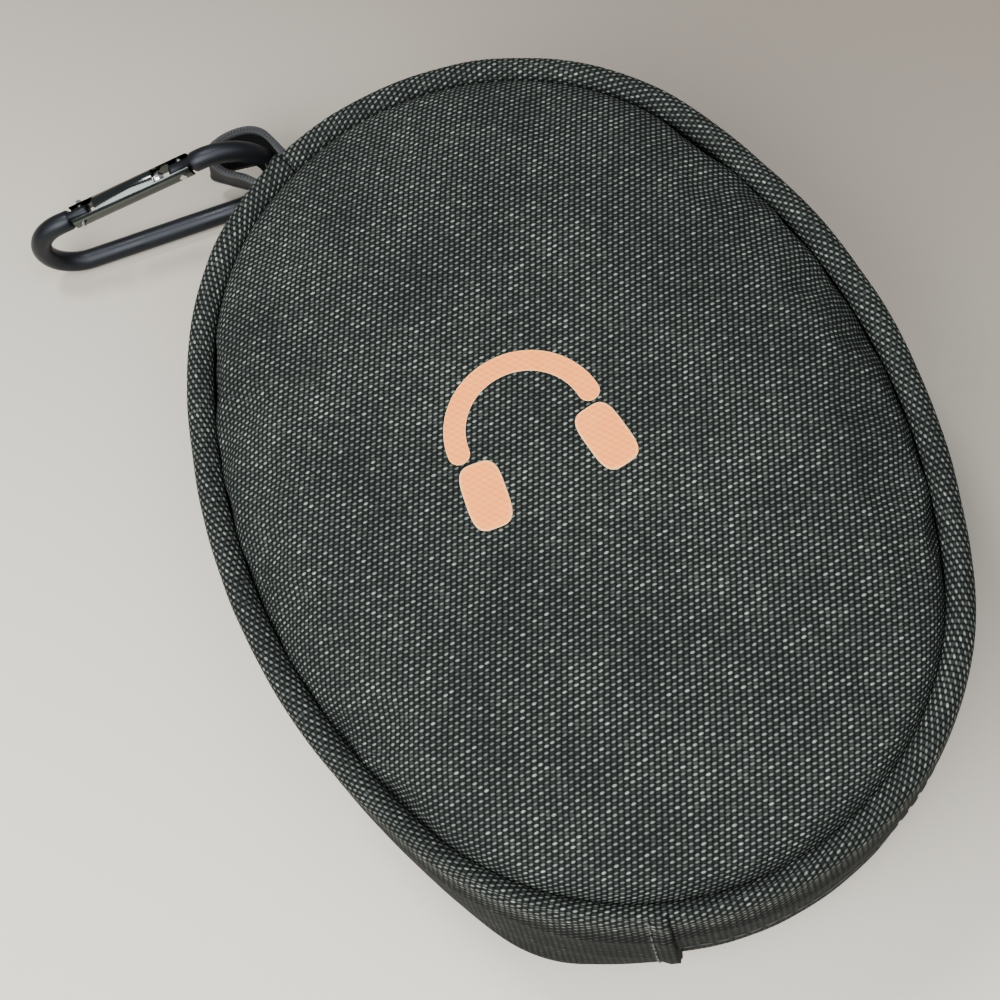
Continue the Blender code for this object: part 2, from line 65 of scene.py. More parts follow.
# Sizes in millimetres, from the frame
PANEL_LOW, PANEL_HIGH = node_box("front_panel")
BACK_LOW, BACK_HIGH = node_box("back_panel")
SPINE_LOW, SPINE_HIGH = node_box("spine")
PANEL_EDGE = 0.995
HALF_LENGTH = (PANEL_HIGH.y - PANEL_LOW.y) / 2 / PANEL_EDGE
HALF_WIDTH = (PANEL_HIGH.x - PANEL_LOW.x) / 2 / PANEL_EDGE
END_RADIUS = 54.0
END_Y = HALF_LENGTH - END_RADIUS
SIDE_RADIUS = (HALF_WIDTH ** 2 + END_Y ** 2 - END_RADIUS ** 2) / (2 * (HALF_WIDTH - END_RADIUS))
SIDE_X = SIDE_RADIUS - HALF_WIDTH
SIDE_TURN = math.atan2(END_Y, SIDE_X)
END_RUN = END_RADIUS * (math.pi / 2 - SIDE_TURN)
SIDE_RUN = 2 * SIDE_RADIUS * SIDE_TURN
PERIMETER = 4 * END_RUN + 2 * SIDE_RUN
FRONT_SEAM = PANEL_LOW.z + 1.6
BACK_SEAM = BACK_HIGH.z - 1.6
DOME_TOP = PANEL_HIGH.z
ZIP_Z = (node_box("front_zip_teeth")[0].z + node_box("back_zip_teeth")[1].z) / 2
LOOP_END = -21.0
HEM = 2 * END_RUN + SIDE_RUN + 19.6


# ------------------------------------------------------------------ camera

def place_camera():
    """Lens and place of the view: high over the near end, rolled so that the loop is at the upper left."""
    at = Vector((-17.6, -111.2, 318.8)) * MM
    aim = Vector((-12.9, -3.3, 45.0)) * MM
    roll = math.radians(24.06)
    data = bpy.data.cameras.new("camera")
    data.sensor_width = 36.0
    data.lens = 59.4
    data.clip_start = 0.01
    ahead = (aim - at).normalized()
    right = ahead.cross(Vector((0, 0, 1))).normalized()
    down = ahead.cross(right)
    across = right * math.cos(roll) + down * math.sin(roll)
    below = down * math.cos(roll) - right * math.sin(roll)
    made = bpy.data.objects.new("camera", data)
    made.matrix_world = Matrix.Translation(at) @ Matrix((across, -below, -ahead)).transposed().to_4x4()
    bpy.context.collection.objects.link(made)
    bpy.context.scene.camera = made


# --------------------------------------------------------------- materials

def linear(colour):
    """sRGB hex to linear RGBA."""
    parts = [int(colour[index:index + 2], 16) / 255 for index in (1, 3, 5)]
    return [part / 12.92 if part <= 0.04045 else ((part + 0.055) / 1.055) ** 2.4 for part in parts] + [1.0]


def node(tree, kind, *values, inputs=None, out=0, **settings):
    """Add a node with its settings, link or set its inputs, and give back one of its outputs."""
    made = tree.nodes.new(kind)
    for name, value in settings.items():
        setattr(made, name, value)
    wanted = dict(enumerate(values))
    wanted.update(inputs or {})
    for key, value in wanted.items():
        if value is None:
            continue
        if isinstance(value, bpy.types.NodeSocket):
            tree.links.new(value, made.inputs[key])
        else:
            made.inputs[key].default_value = value
    return made.outputs[out] if made.outputs else made


def new_material(name):
    made = bpy.data.materials.new(name)
    made.use_nodes = True
    tree = made.node_tree
    tree.nodes.clear()
    return made, tree


def finish_material(made, shader):
    tree = made.node_tree
    node(tree, "ShaderNodeOutputMaterial", shader)
    return made


def place_of(tree, source):
    """Pattern coordinates in millimetres: the piece's own UV map, or its Object coordinates."""
    spot = node(tree, "ShaderNodeTexCoord", out="UV" if source == "uv" else "Object")
    return node(tree, "ShaderNodeVectorMath", spot, (1 / MM, 1 / MM, 1 / MM), operation="MULTIPLY")


def woven_nylon(name, grain, warp=1.0, weft=0.58, bright="#6f766f", dark="#070a0a", painted_glint_strength=1.0, painted_wall_shade=None):
    """Ballistic nylon in plain weave: fat multifilament yarns. The base colour carries a painted highlight on
    each float and painted shade in the gaps between them. Yarn spacing is 1.0 mm by 0.58 mm."""
    made, tree = new_material(name)
    spot = place_of(tree, "uv")
    spot = node(tree, "ShaderNodeMapping", spot, inputs={"Rotation": (0, 0, grain)}, vector_type="TEXTURE")
    # Yarns wander a little, so that the rows are not ruled lines
    drift = node(tree, "ShaderNodeTexNoise", spot, inputs={"Scale": 0.35, "Detail": 2.0}, out="Color")
    drift = node(tree, "ShaderNodeVectorMath", drift, (0.5, 0.5, 0.5), operation="SUBTRACT")
    drift = node(tree, "ShaderNodeVectorMath", drift, (0.34, 0.34, 0.0), operation="MULTIPLY")
    spot = node(tree, "ShaderNodeVectorMath", spot, drift, operation="ADD")
    cell = node(tree, "ShaderNodeVectorMath", spot, (1 / warp, 1 / weft, 1.0), operation="MULTIPLY")
    whole = node(tree, "ShaderNodeVectorMath", cell, operation="FLOOR")
    part = node(tree, "ShaderNodeVectorMath", cell, whole, operation="SUBTRACT")
    part = node(tree, "ShaderNodeVectorMath", part, (0.5, 0.5, 0.0), operation="SUBTRACT")
    part = node(tree, "ShaderNodeVectorMath", part, (warp, weft, 0.0), operation="MULTIPLY")
    index = node(tree, "ShaderNodeSeparateXYZ", whole)
    total = node(tree, "ShaderNodeMath", index, index.node.outputs["Y"], operation="ADD")
    parity = node(tree, "ShaderNodeMath", total, 2.0, operation="FLOORED_MODULO")
    chance = node(tree, "ShaderNodeTexWhiteNoise", whole, noise_dimensions="3D")
    # Warp floats lean with the yarn's twist; weft floats lie lower and straighter
    lean = node(tree, "ShaderNodeVectorRotate", part, inputs={"Angle": -math.radians(24)},
                rotation_type="Z_AXIS")
    lean = node(tree, "ShaderNodeVectorMath", lean, (1 / 0.56, 1 / 0.33, 0.0), operation="MULTIPLY")
    high = node(tree, "ShaderNodeVectorMath", lean, lean, operation="DOT_PRODUCT", out="Value")
    high = node(tree, "ShaderNodeMath", 1.0, high, operation="SUBTRACT", use_clamp=True)
    low = node(tree, "ShaderNodeVectorMath", part, (1 / 0.6, 1 / 0.5, 0.0), operation="MULTIPLY")
    low = node(tree, "ShaderNodeVectorMath", low, low, operation="DOT_PRODUCT", out="Value")
    low = node(tree, "ShaderNodeMath", 1.0, low, operation="SUBTRACT", use_clamp=True)
    low = node(tree, "ShaderNodeMath", low, 0.26, operation="MULTIPLY")
    height = node(tree, "ShaderNodeMix", parity, inputs={2: low, 3: high})
    # Painted highlight: each float's highlight in the base colour has its own random strength, and a few
    # floats get a bright painted glint
    share = node(tree, "ShaderNodeMapRange", chance, inputs={"From Min": 0.0, "From Max": 1.0,
                                                             "To Min": 0.55, "To Max": 1.0})
    painted_glint = node(tree, "ShaderNodeMath", chance, 12.0, operation="POWER")
    painted_glint = node(tree, "ShaderNodeMath", painted_glint, 1.0 * painted_glint_strength, operation="MULTIPLY")
    share = node(tree, "ShaderNodeMath", share, painted_glint, operation="ADD")
    # Painted light: the base colour rises with float height, a painted highlight on the tops and painted
    # shade in the gaps
    tone = node(tree, "ShaderNodeMath", height, 1.7, operation="POWER")
    tone = node(tree, "ShaderNodeMath", tone, share, operation="MULTIPLY")
    # Broad wear: patches where handling has flattened and greyed the yarns
    patch = node(tree, "ShaderNodeTexNoise", spot, inputs={"Scale": 0.045, "Detail": 3.0}, out="Fac")
    patch = node(tree, "ShaderNodeMapRange", patch, inputs={"From Min": 0.35, "From Max": 0.7,
                                                            "To Min": 0.74, "To Max": 1.22})
    tone = node(tree, "ShaderNodeMath", tone, patch, operation="MULTIPLY")
    if painted_wall_shade:
        # Painted shade: tone is lowered below the roll so that the strip's wall reads dark as if in shadow;
        # the cloth itself is the same
        down = node(tree, "ShaderNodeSeparateXYZ", place_of(tree, "uv"), out="Y")
        down = node(tree, "ShaderNodeMapRange", down, inputs={"From Min": painted_wall_shade[0], "From Max": painted_wall_shade[1],
                                                             "To Min": 1.0, "To Max": painted_wall_shade[2]})
        tone = node(tree, "ShaderNodeMath", tone, down, operation="MULTIPLY")
    colour = node(tree, "ShaderNodeMix", tone, data_type="RGBA", clamp_factor=False,
                  inputs={6: linear(dark), 7: linear(bright)}, out=2)
    rough = node(tree, "ShaderNodeMapRange", tone, inputs={"To Min": 0.85, "To Max": 0.42})
    gloss = node(tree, "ShaderNodeMapRange", tone, inputs={"To Min": 0.1, "To Max": 0.42})
    bump = node(tree, "ShaderNodeBump", inputs={"Strength": 0.8, "Distance": 0.00022, "Height": height})
    shader = node(tree, "ShaderNodeBsdfPrincipled",
                  inputs={"Base Color": colour, "Roughness": rough, "Normal": bump,
                          "Specular IOR Level": gloss})
    return finish_material(made, shader)


def ribbed_cloth(name, colour, rib, depth, rough=0.8, source="uv", sheen=0.1, cross=0.0, vary=0.35):
    """Cloth with straight ribs along U: zip tape, ribbon, binding or lining. rib is their spacing in mm;
    cross is the spacing of the yarns over them."""
    made, tree = new_material(name)
    spot = place_of(tree, source)
    apart = node(tree, "ShaderNodeSeparateXYZ", spot)
    wave = node(tree, "ShaderNodeMath", apart.node.outputs["X"], 2 * math.pi / rib, operation="MULTIPLY")
    wave = node(tree, "ShaderNodeMath", wave, operation="SINE")
    height = node(tree, "ShaderNodeMath", wave, 0.5, 0.5, operation="MULTIPLY_ADD")
    if cross:
        over = apart.node.outputs["Y"]
        over = node(tree, "ShaderNodeMath", over, 2 * math.pi / cross, operation="MULTIPLY")
        over = node(tree, "ShaderNodeMath", over, operation="SINE")
        over = node(tree, "ShaderNodeMath", over, wave, operation="MULTIPLY")
        height = node(tree, "ShaderNodeMath", over, 0.35, height, operation="MULTIPLY_ADD")
    grain = node(tree, "ShaderNodeTexNoise", spot, inputs={"Scale": 1.6, "Detail": 4.0}, out="Fac")
    height = node(tree, "ShaderNodeMath", grain, vary, height, operation="MULTIPLY_ADD")
    tone = node(tree, "ShaderNodeMapRange", height, inputs={"From Max": 1.4, "To Min": 0.35, "To Max": 1.35})
    shade = node(tree, "ShaderNodeVectorMath", linear(colour)[:3], inputs={"Scale": tone}, operation="SCALE")
    bump = node(tree, "ShaderNodeBump", inputs={"Strength": 0.8, "Distance": depth * MM, "Height": height})
    shader = node(tree, "ShaderNodeBsdfPrincipled",
                  inputs={"Base Color": shade, "Roughness": rough, "Normal": bump,
                          "Sheen Weight": sheen, "Sheen Roughness": 0.4})
    return finish_material(made, shader)


def speckled(name, colour, rough, metallic=0.0, grain=30.0, depth=0.02, vary=0.12, coat=0.0, source="object",
             spread=0.08, anisotropic=0.0):
    """Moulded, cast, anodised or foamed surface: one colour with fine grain, small shade changes and
    roughness that varies where it has been handled. grain is in features per 10 mm."""
    made, tree = new_material(name)
    spot = place_of(tree, source)
    fine = node(tree, "ShaderNodeTexNoise", spot, inputs={"Scale": grain / 10, "Detail": 5.0}, out="Fac")
    broad = node(tree, "ShaderNodeTexNoise", spot, inputs={"Scale": 0.12, "Detail": 3.0}, out="Fac")
    tone = node(tree, "ShaderNodeMath", fine, broad, operation="ADD")
    tone = node(tree, "ShaderNodeMapRange", tone, inputs={"From Min": 0.7, "From Max": 1.3,
                                                          "To Min": 1 - vary, "To Max": 1 + vary})
    shade = node(tree, "ShaderNodeVectorMath", linear(colour)[:3], inputs={"Scale": tone}, operation="SCALE")
    finish = node(tree, "ShaderNodeMapRange", broad,
                  inputs={"From Min": 0.3, "From Max": 0.7,
                          "To Min": rough - spread, "To Max": rough + spread})
    bump = node(tree, "ShaderNodeBump", inputs={"Strength": 0.5, "Distance": depth * MM, "Height": fine})
    shader = node(tree, "ShaderNodeBsdfPrincipled",
                  inputs={"Base Color": shade, "Roughness": finish, "Metallic": metallic, "Normal": bump,
                          "Coat Weight": coat, "Coat Roughness": 0.1, "Anisotropic": anisotropic})
    return finish_material(made, shader)


def printed_film(name, grain):
    """Heat-transferred film: satin ink pressed into the cloth, so the weave's bumps show through it and
    its cut edge is a paler line."""
    made, tree = new_material(name)
    spot = place_of(tree, "uv")
    turned = node(tree, "ShaderNodeMapping", spot, inputs={"Rotation": (0, 0, grain)}, vector_type="TEXTURE")
    cell = node(tree, "ShaderNodeVectorMath", turned, (math.pi, math.pi / 0.58, 0.0), operation="MULTIPLY")
    apart = node(tree, "ShaderNodeSeparateXYZ", cell)
    one = node(tree, "ShaderNodeMath", apart, operation="SINE")
    two = node(tree, "ShaderNodeMath", apart.node.outputs["Y"], operation="SINE")
    weave = node(tree, "ShaderNodeMath", one, two, operation="MULTIPLY")
    weave = node(tree, "ShaderNodeMath", weave, 0.5, 0.5, operation="MULTIPLY_ADD")
    broad = node(tree, "ShaderNodeTexNoise", spot, inputs={"Scale": 0.2, "Detail": 3.0}, out="Fac")
    tone = node(tree, "ShaderNodeMath", broad, 0.8, weave, operation="MULTIPLY_ADD")
    tone = node(tree, "ShaderNodeMapRange", tone, inputs={"From Min": 0.3, "From Max": 1.5})
    colour = node(tree, "ShaderNodeMix", tone, data_type="RGBA",
                  inputs={6: linear("#ff8636"), 7: linear("#ffa455")}, out=2)
    edge = node(tree, "ShaderNodeAttribute", attribute_name="edge", out="Fac")
    rim = node(tree, "ShaderNodeMix", edge, data_type="RGBA", inputs={6: colour, 7: linear("#ffc890")}, out=2)
    bump = node(tree, "ShaderNodeBump", inputs={"Strength": 0.55, "Distance": 0.00012, "Height": weave})
    shader = node(tree, "ShaderNodeBsdfPrincipled",
                  inputs={"Base Color": rim, "Roughness": 0.5, "Specular IOR Level": 0.12, "Normal": bump})
    return finish_material(made, shader)


# ------------------------------------------------------------ seam geometry

def seam(run):
    """Points on the seam oval and outward normals at runs clockwise from the loop end's tip."""
    run = np.mod(np.asarray(run, float), PERIMETER)
    edges = np.array([END_RUN, END_RUN + SIDE_RUN, 3 * END_RUN + SIDE_RUN, 3 * END_RUN + 2 * SIDE_RUN])
    part = np.searchsorted(edges, run, side="right")
    turn = np.choose(part, [
        math.pi / 2 - run / END_RADIUS,
        SIDE_TURN - (run - edges[0]) / SIDE_RADIUS,
        -SIDE_TURN - (run - edges[1]) / END_RADIUS,
        math.pi + SIDE_TURN - (run - edges[2]) / SIDE_RADIUS,
        math.pi - SIDE_TURN - (run - edges[3]) / END_RADIUS])
    centre_x = np.choose(part, [0.0, -SIDE_X, 0.0, SIDE_X, 0.0])
    centre_y = np.choose(part, [END_Y, 0.0, -END_Y, 0.0, END_Y])
    radius = np.choose(part, [END_RADIUS, SIDE_RADIUS, END_RADIUS, SIDE_RADIUS, END_RADIUS])
    normal = np.stack([np.cos(turn), np.sin(turn)], -1)
    return np.stack([centre_x, centre_y], -1) + normal * radius[..., None], normal


def soften(points, rounds=3, closed=True):
    """Round the corners of an outline by cutting them again and again."""
    line = [Vector(point) for point in points]
    for _ in range(rounds):
        cut = []
        pairs = list(zip(line, line[1:] + line[:1])) if closed else list(zip(line, line[1:]))
        for here, there in pairs:
            cut += [here * 0.75 + there * 0.25, here * 0.25 + there * 0.75]
        line = cut if closed else [line[0]] + cut[1:-1] + [line[-1]]
    return line


def smooth_path(knots, steps):
    """Catmull-Rom curve through the knots."""
    knots = [Vector(knot) for knot in knots]
    ends = [knots[0] * 2 - knots[1]] + knots + [knots[-1] * 2 - knots[-2]]
    points = []
    for before, here, there, after in zip(ends, ends[1:], ends[2:], ends[3:]):
        for step in range(steps):
            t = step / steps
            points.append(0.5 * (2 * here + (there - before) * t
                                 + (2 * before - 5 * here + 4 * there - after) * t * t
                                 + (3 * here - before - 3 * there + after) * t ** 3))
    return points + [knots[-1]]


def ripple(x, y, z, size, seed=0.0):
    """Smooth deterministic unevenness between about -1 and 1; size is its wavelength in mm."""
    return noise.noise(Vector((x / size + seed, y / size - seed, z / size)))


def link(obj):
    bpy.context.collection.objects.link(obj)
    return obj


def mesh_object(name, verts, faces, look, uvs=None, smooth=True):
    """Named mesh from millimetre points, with an optional UV for each vertex, also in millimetres."""
    mesh = bpy.data.meshes.new(name)
    mesh.from_pydata([Vector(vert) * MM for vert in verts], [], faces)
    if uvs is not None:
        layer = mesh.uv_layers.new(name="UVMap")
        flat = np.array(uvs, float)[[loop.vertex_index for loop in mesh.loops]] * MM
        layer.data.foreach_set("uv", flat.astype(np.float32).ravel())
    mesh.materials.append(look)
    mesh.polygons.foreach_set("use_smooth", [smooth] * len(mesh.polygons))
    mesh.validate()
    mesh.update()
    return link(bpy.data.objects.new(name, mesh))


def face_outwards(obj):
    bm = bmesh.new()
    bm.from_mesh(obj.data)
    bmesh.ops.recalc_face_normals(bm, faces=bm.faces)
    bm.to_mesh(obj.data)
    bm.free()
    return obj


def apply_modifiers(obj):
    """Bake the modifiers into the mesh."""
    graph = bpy.context.evaluated_depsgraph_get()
    baked = bpy.data.meshes.new_from_object(obj.evaluated_get(graph), preserve_all_data_layers=True,
                                            depsgraph=graph)
    obj.modifiers.clear()
    obj.data = baked
    return obj


def sweep_grid(rings, closed_run, closed_section, caps=True):
    """Faces of a grid of rings."""
    count, size = len(rings), len(rings[0])
    faces = []
    for row in range(count if closed_run else count - 1):
        for column in range(size if closed_section else size - 1):
            right, after = (column + 1) % size, (row + 1) % count
            here, there = row * size, after * size
            faces.append((here + column, here + right, there + right, there + column))
    if caps and not closed_run:
        faces.append(tuple(range(size))[::-1])
        faces.append(tuple((count - 1) * size + column for column in range(size)))
    return faces


def wall(name, profile, look, start=0.0, stop=None, step=1.5, shape=None):
    """Sweep a closed profile of (outward, height) along the seam. U is the run and V the way round the
    profile; shape(run, outward, height) moves a point as the cloth does."""
    whole = stop is None
    length = PERIMETER if whole else stop - start
    stations = max(2, round(length / step))
    runs = start + length * np.arange(stations if whole else stations + 1) / stations
    spots, normals = seam(runs)
    ways = [0.0]
    for here, there in zip(profile, profile[1:]):
        ways.append(ways[-1] + (Vector(there) - Vector(here)).length)
    verts, uvs = [], []
    for run, spot, normal in zip(runs, spots, normals):
        for way, (outward, height) in zip(ways, profile):
            if shape:
                outward, height = shape(run, spot, outward, height)
            verts.append((spot[0] + normal[0] * outward, spot[1] + normal[1] * outward, height))
            uvs.append((run, way))
    rings = [range(len(profile))] * len(runs)
    faces = sweep_grid(rings, whole, True)
    return face_outwards(mesh_object(name, verts, faces, look, uvs))


# ------------------------------------------------------------------- pieces

FRONT_DISH = [(0.9955, FRONT_SEAM - 3.4), (0.990, FRONT_SEAM - 2.2), (0.980, FRONT_SEAM - 0.3),
              (0.968, FRONT_SEAM + 1.5), (0.945, FRONT_SEAM + 3.0), (0.90, FRONT_SEAM + 4.2),
              (0.78, FRONT_SEAM + 5.8), (0.56, FRONT_SEAM + 7.0), (0.3, FRONT_SEAM + 7.8),
              (0.0, DOME_TOP - 0.1)]
BACK_DISH = [(0.9955, BACK_SEAM + 2.6), (0.992, BACK_SEAM + 1.4), (0.984, BACK_SEAM - 0.6),
             (0.958, BACK_SEAM - 3.2), (0.91, BACK_SEAM - 4.6), (0.83, 0.1), (0.5, 0.1), (0.0, 0.1)]
GRAIN = math.radians(-26)
CORE = 21
SPOKES = 8 * CORE
RINGS = 34


def square_share(i, j):
    """How far round its square ring a grid point is, clockwise from the ring's top middle, and the ring."""
    ring = max(abs(i), abs(j))
    if ring == 0:
        return 0.0, 0
    if j == ring:
        way = i if i >= 0 else i + 8 * ring
    elif i == ring:
        way = 2 * ring - j
    elif j == -ring:
        way = 4 * ring - i
    else:
        way = 6 * ring + j
    return way / (8 * ring), ring


def dish(name, steps, look, lift=0.0, limit=1.0):
    """Disc of cloth over the oval: even rings at its steep rim round a grid bent into a disc, which has
    no pole. Its UVs are the flat cloth's."""
    knots = [Vector((scale * HALF_WIDTH, height)) for scale, height in steps]
    fine = smooth_path(knots, 12)
    ways = [0.0]
    for here, there in zip(fine, fine[1:]):
        ways.append(ways[-1] + (there - here).length)
    total = ways[-1]
    places = [(ring, share / SPOKES) for ring in range(RINGS - CORE) for share in range(SPOKES)]
    rows = range(-CORE, CORE + 1)
    for j in rows:
        for i in rows:
            share, ring = square_share(i, j)
            places.append((RINGS - ring, share))
    spots, _ = seam([PERIMETER * share for _, share in places])
    verts, uvs = [], []
    for (ring, _), (x, y) in zip(places, spots):
        pick = total * (ring / RINGS) ** 1.35
        index = min(max(1, int(np.searchsorted(ways, pick))), len(fine) - 1)
        share = (pick - ways[index - 1]) / max(ways[index] - ways[index - 1], 1e-9)
        spot = fine[index - 1].lerp(fine[index], share)
        scale = spot.x / HALF_WIDTH * limit
        spread = (total - pick) / HALF_WIDTH
        verts.append((x * scale, y * scale, spot.y + lift))
        uvs.append((x * spread, y * spread))
    faces = sweep_grid([range(SPOKES)] * (RINGS - CORE), False, True, caps=False)
    first = (RINGS - CORE) * SPOKES
    side = len(rows)
    corner = {}
    for index in range(side * side):
        share, ring = square_share(index % side - CORE, index // side - CORE)
        if ring == CORE:
            corner[round(share * SPOKES) % SPOKES] = first + index
    last = first - SPOKES
    faces += [(last + way, last + (way + 1) % SPOKES, corner[(way + 1) % SPOKES], corner[way])
              for way in range(SPOKES)]
    faces += [(first + row * side + column, first + row * side + column + 1,
               first + (row + 1) * side + column + 1, first + (row + 1) * side + column)
              for row in range(side - 1) for column in range(side - 1)]
    return face_outwards(mesh_object(name, verts, faces, look, uvs))


def settle(obj, pressure, cap, grow, pinned):
    """Let the cloth puff and settle with its sewn rim held, then keep the result within cap."""
    before = np.array([vert.co[:] for vert in obj.data.vertices])
    group = obj.vertex_groups.new(name="sewn")
    group.add(pinned, 1.0, "REPLACE")
    cloth = obj.modifiers.new("cloth", "CLOTH")
    settings = cloth.settings
    settings.quality = 6
    settings.mass = 0.3
    settings.tension_stiffness = 12
    settings.compression_stiffness = 12
    settings.shear_stiffness = 6
    settings.bending_stiffness = 2.0
    settings.shrink_min = -grow
    settings.use_pressure = True
    settings.uniform_pressure_force = pressure
    settings.vertex_group_mass = "sewn"
    settings.effector_weights.gravity = 0.0
    scene = bpy.context.scene
    cloth.point_cache.frame_start = 1
    cloth.point_cache.frame_end = 20
    for moment in range(1, 21):
        scene.frame_set(moment)
    apply_modifiers(obj)
    after = np.array([vert.co[:] for vert in obj.data.vertices])
    scene.frame_set(1)
    move = after - before
    length = np.linalg.norm(move, axis=1, keepdims=True)
    limit = cap * MM
    move *= np.where(length > limit, limit / np.maximum(length, 1e-12), 1.0)
    obj.data.vertices.foreach_set("co", (before + move).ravel())
    obj.data.update()
    obj.vertex_groups.clear()
    return obj


def padded_face(name, steps, look, side, skin=1.0):
    """Woven face: the disc is simulated, smoothed and given its thickness inwards."""
    obj = dish(name, steps, look)
    up = sum(face.normal.z for face in obj.data.polygons)
    if up * side < 0:
        obj.data.flip_normals()
    settle(obj, 4.0, 1.3, 0.012, list(range(2 * SPOKES)))
    for vert in obj.data.vertices:
        spot = vert.co / MM
        inner = min(1.0, max(0.0, (0.985 - math.hypot(spot.x / HALF_WIDTH, spot.y / HALF_LENGTH)) / 0.2))
        waves = 0.7 * ripple(spot.x, spot.y, 0, 34) + 0.2 * ripple(spot.x, spot.y, 0, 15, 4)
        vert.co.z += side * inner * MM * waves
        if side < 0:
            vert.co.z = max(vert.co.z, 0.02 * MM)
        else:
            vert.co.z = min(vert.co.z, (DOME_TOP + 0.6) * MM)
    thick = obj.modifiers.new("thickness", "SOLIDIFY")
    thick.thickness = skin * MM
    thick.offset = -1.0
    fine = obj.modifiers.new("smooth", "SUBSURF")
    fine.levels = 1
    fine.render_levels = 1
    apply_modifiers(obj)
    return obj


def inner_layer(name, steps, look, depth, thickness, rim, side):
    """Foam or lining under a face: a soft-edged dish that follows it."""
    obj = dish(name, steps, look, lift=-side * depth, limit=rim)
    up = sum(face.normal.z for face in obj.data.polygons)
    if up * side < 0:
        obj.data.flip_normals()
    thick = obj.modifiers.new("thickness", "SOLIDIFY")
    thick.thickness = thickness * MM
    thick.offset = -1.0
    return apply_modifiers(obj)


def build_faces(looks):
    pieces = {}
    for prefix, steps, side, body in (("front", FRONT_DISH, 1, "lid"), ("back", BACK_DISH, -1, "base")):
        cover = padded_face(prefix + "_cover", steps, looks["panel"], side)
        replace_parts(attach(cover, body), prefix + "_panel")
        pieces[prefix] = cover
        soft = [(scale, height) for scale, height in steps if scale < 0.97]
        foam = inner_layer(prefix + "_padding", soft, looks["foam"], 1.6, 3.8, 0.99, side)
        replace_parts(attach(foam, body), prefix + "_foam")
        inside = inner_layer(prefix + "_inside", soft, looks["lining"], 5.8, 0.8, 0.98, side)
        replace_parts(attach(inside, body), prefix + "_lining")
    return pieces


def gusset_outline(seam_z, edge_z, face):
    """Rolled rim at the seam, then the wall down to its folded edge at the zip."""
    narrow = 0.0 if face > 0 else -0.6
    foot = 4.0 if face > 0 else 3.7
    points = [(0.0, seam_z - face * 4.2), (0.05, seam_z - face * 2.4), (-0.75, seam_z - face * 0.9),
              (-0.2, seam_z + face * 0.7), (1.9 + narrow, seam_z + face * 2.1),
              (4.2 + narrow, seam_z + face * 0.9), (4.8 + narrow, seam_z - face * 2.4),
              (4.5 + narrow, seam_z - face * 8.0)]
    points += [(foot + 0.2, edge_z + face * 2.0), (foot, edge_z), (1.9, edge_z),
               (1.8, edge_z + face * 3.0), (1.8, seam_z - face * 8.0), (1.3, seam_z - face * 5.0)]
    return points


def cloth_wall(run, spot, outward, height):
    """Unevenness of the stuffed wall: broad waves, and a tighter pucker along the rolled rim."""
    broad = 0.5 * ripple(spot[0], spot[1], height, 30, 2) + 0.25 * ripple(spot[0], spot[1], height, 9, 7)
    hold = min(1.0, max(0.0, outward - 0.8) / 2.0)
    return outward + broad * hold * 0.7, height + 0.2 * ripple(run, 0, height, 12, 5) * hold


def slump(run, height):
    """Beside the hem the rolled rim is narrow and the wall under it spreads over the zip."""
    near = math.exp(-((run - HEM - 6.0) / 50.0) ** 2)
    top = min(1.0, max(0.0, (height - FRONT_SEAM + 7.0) / 5.0))
    low = min(1.0, max(0.0, (FRONT_SEAM - 4.0 - height) / 14.0))
    return near * (1.5 * low - 1.3 * top)


def flared_wall(run, spot, outward, height):
    """The front wall, narrow at its rim and spread at its foot beside the hem."""
    hold = min(1.0, max(0.0, outward - 1.0) / 1.5)
    moved, lifted = cloth_wall(run, spot, outward, height)
    return moved + slump(run, height) * hold, lifted


def spine_shape(run, spot, outward, height):
    """The spine bags out low down beside the hem, and its two folded ends stand on the gussets."""
    plain = outward
    outward, height = cloth_wall(run, spot, outward, height)
    past_hem = run - HEM
    bag = math.exp(-((past_hem - 22.0) / 13.0) ** 2) * math.exp(-((height - 10.0) / 11.0) ** 2)
    flare = slump(run, height) * min(1.0, max(0.0, height - 4.0) / 14.0)
    outer = min(1.0, max(0.0, plain - 2.0) / 1.5)
    ends = min(past_hem, PERIMETER + LOOP_END - run) + 1.0
    fold = 0.7 * math.exp(-(max(ends, 0.0) / 3.2) ** 4) * outer
    stitch = -0.35 * math.exp(-((ends - 3.2) / 0.5) ** 2) * outer
    return outward + outer * (3.6 * bag + flare) + fold + stitch, height


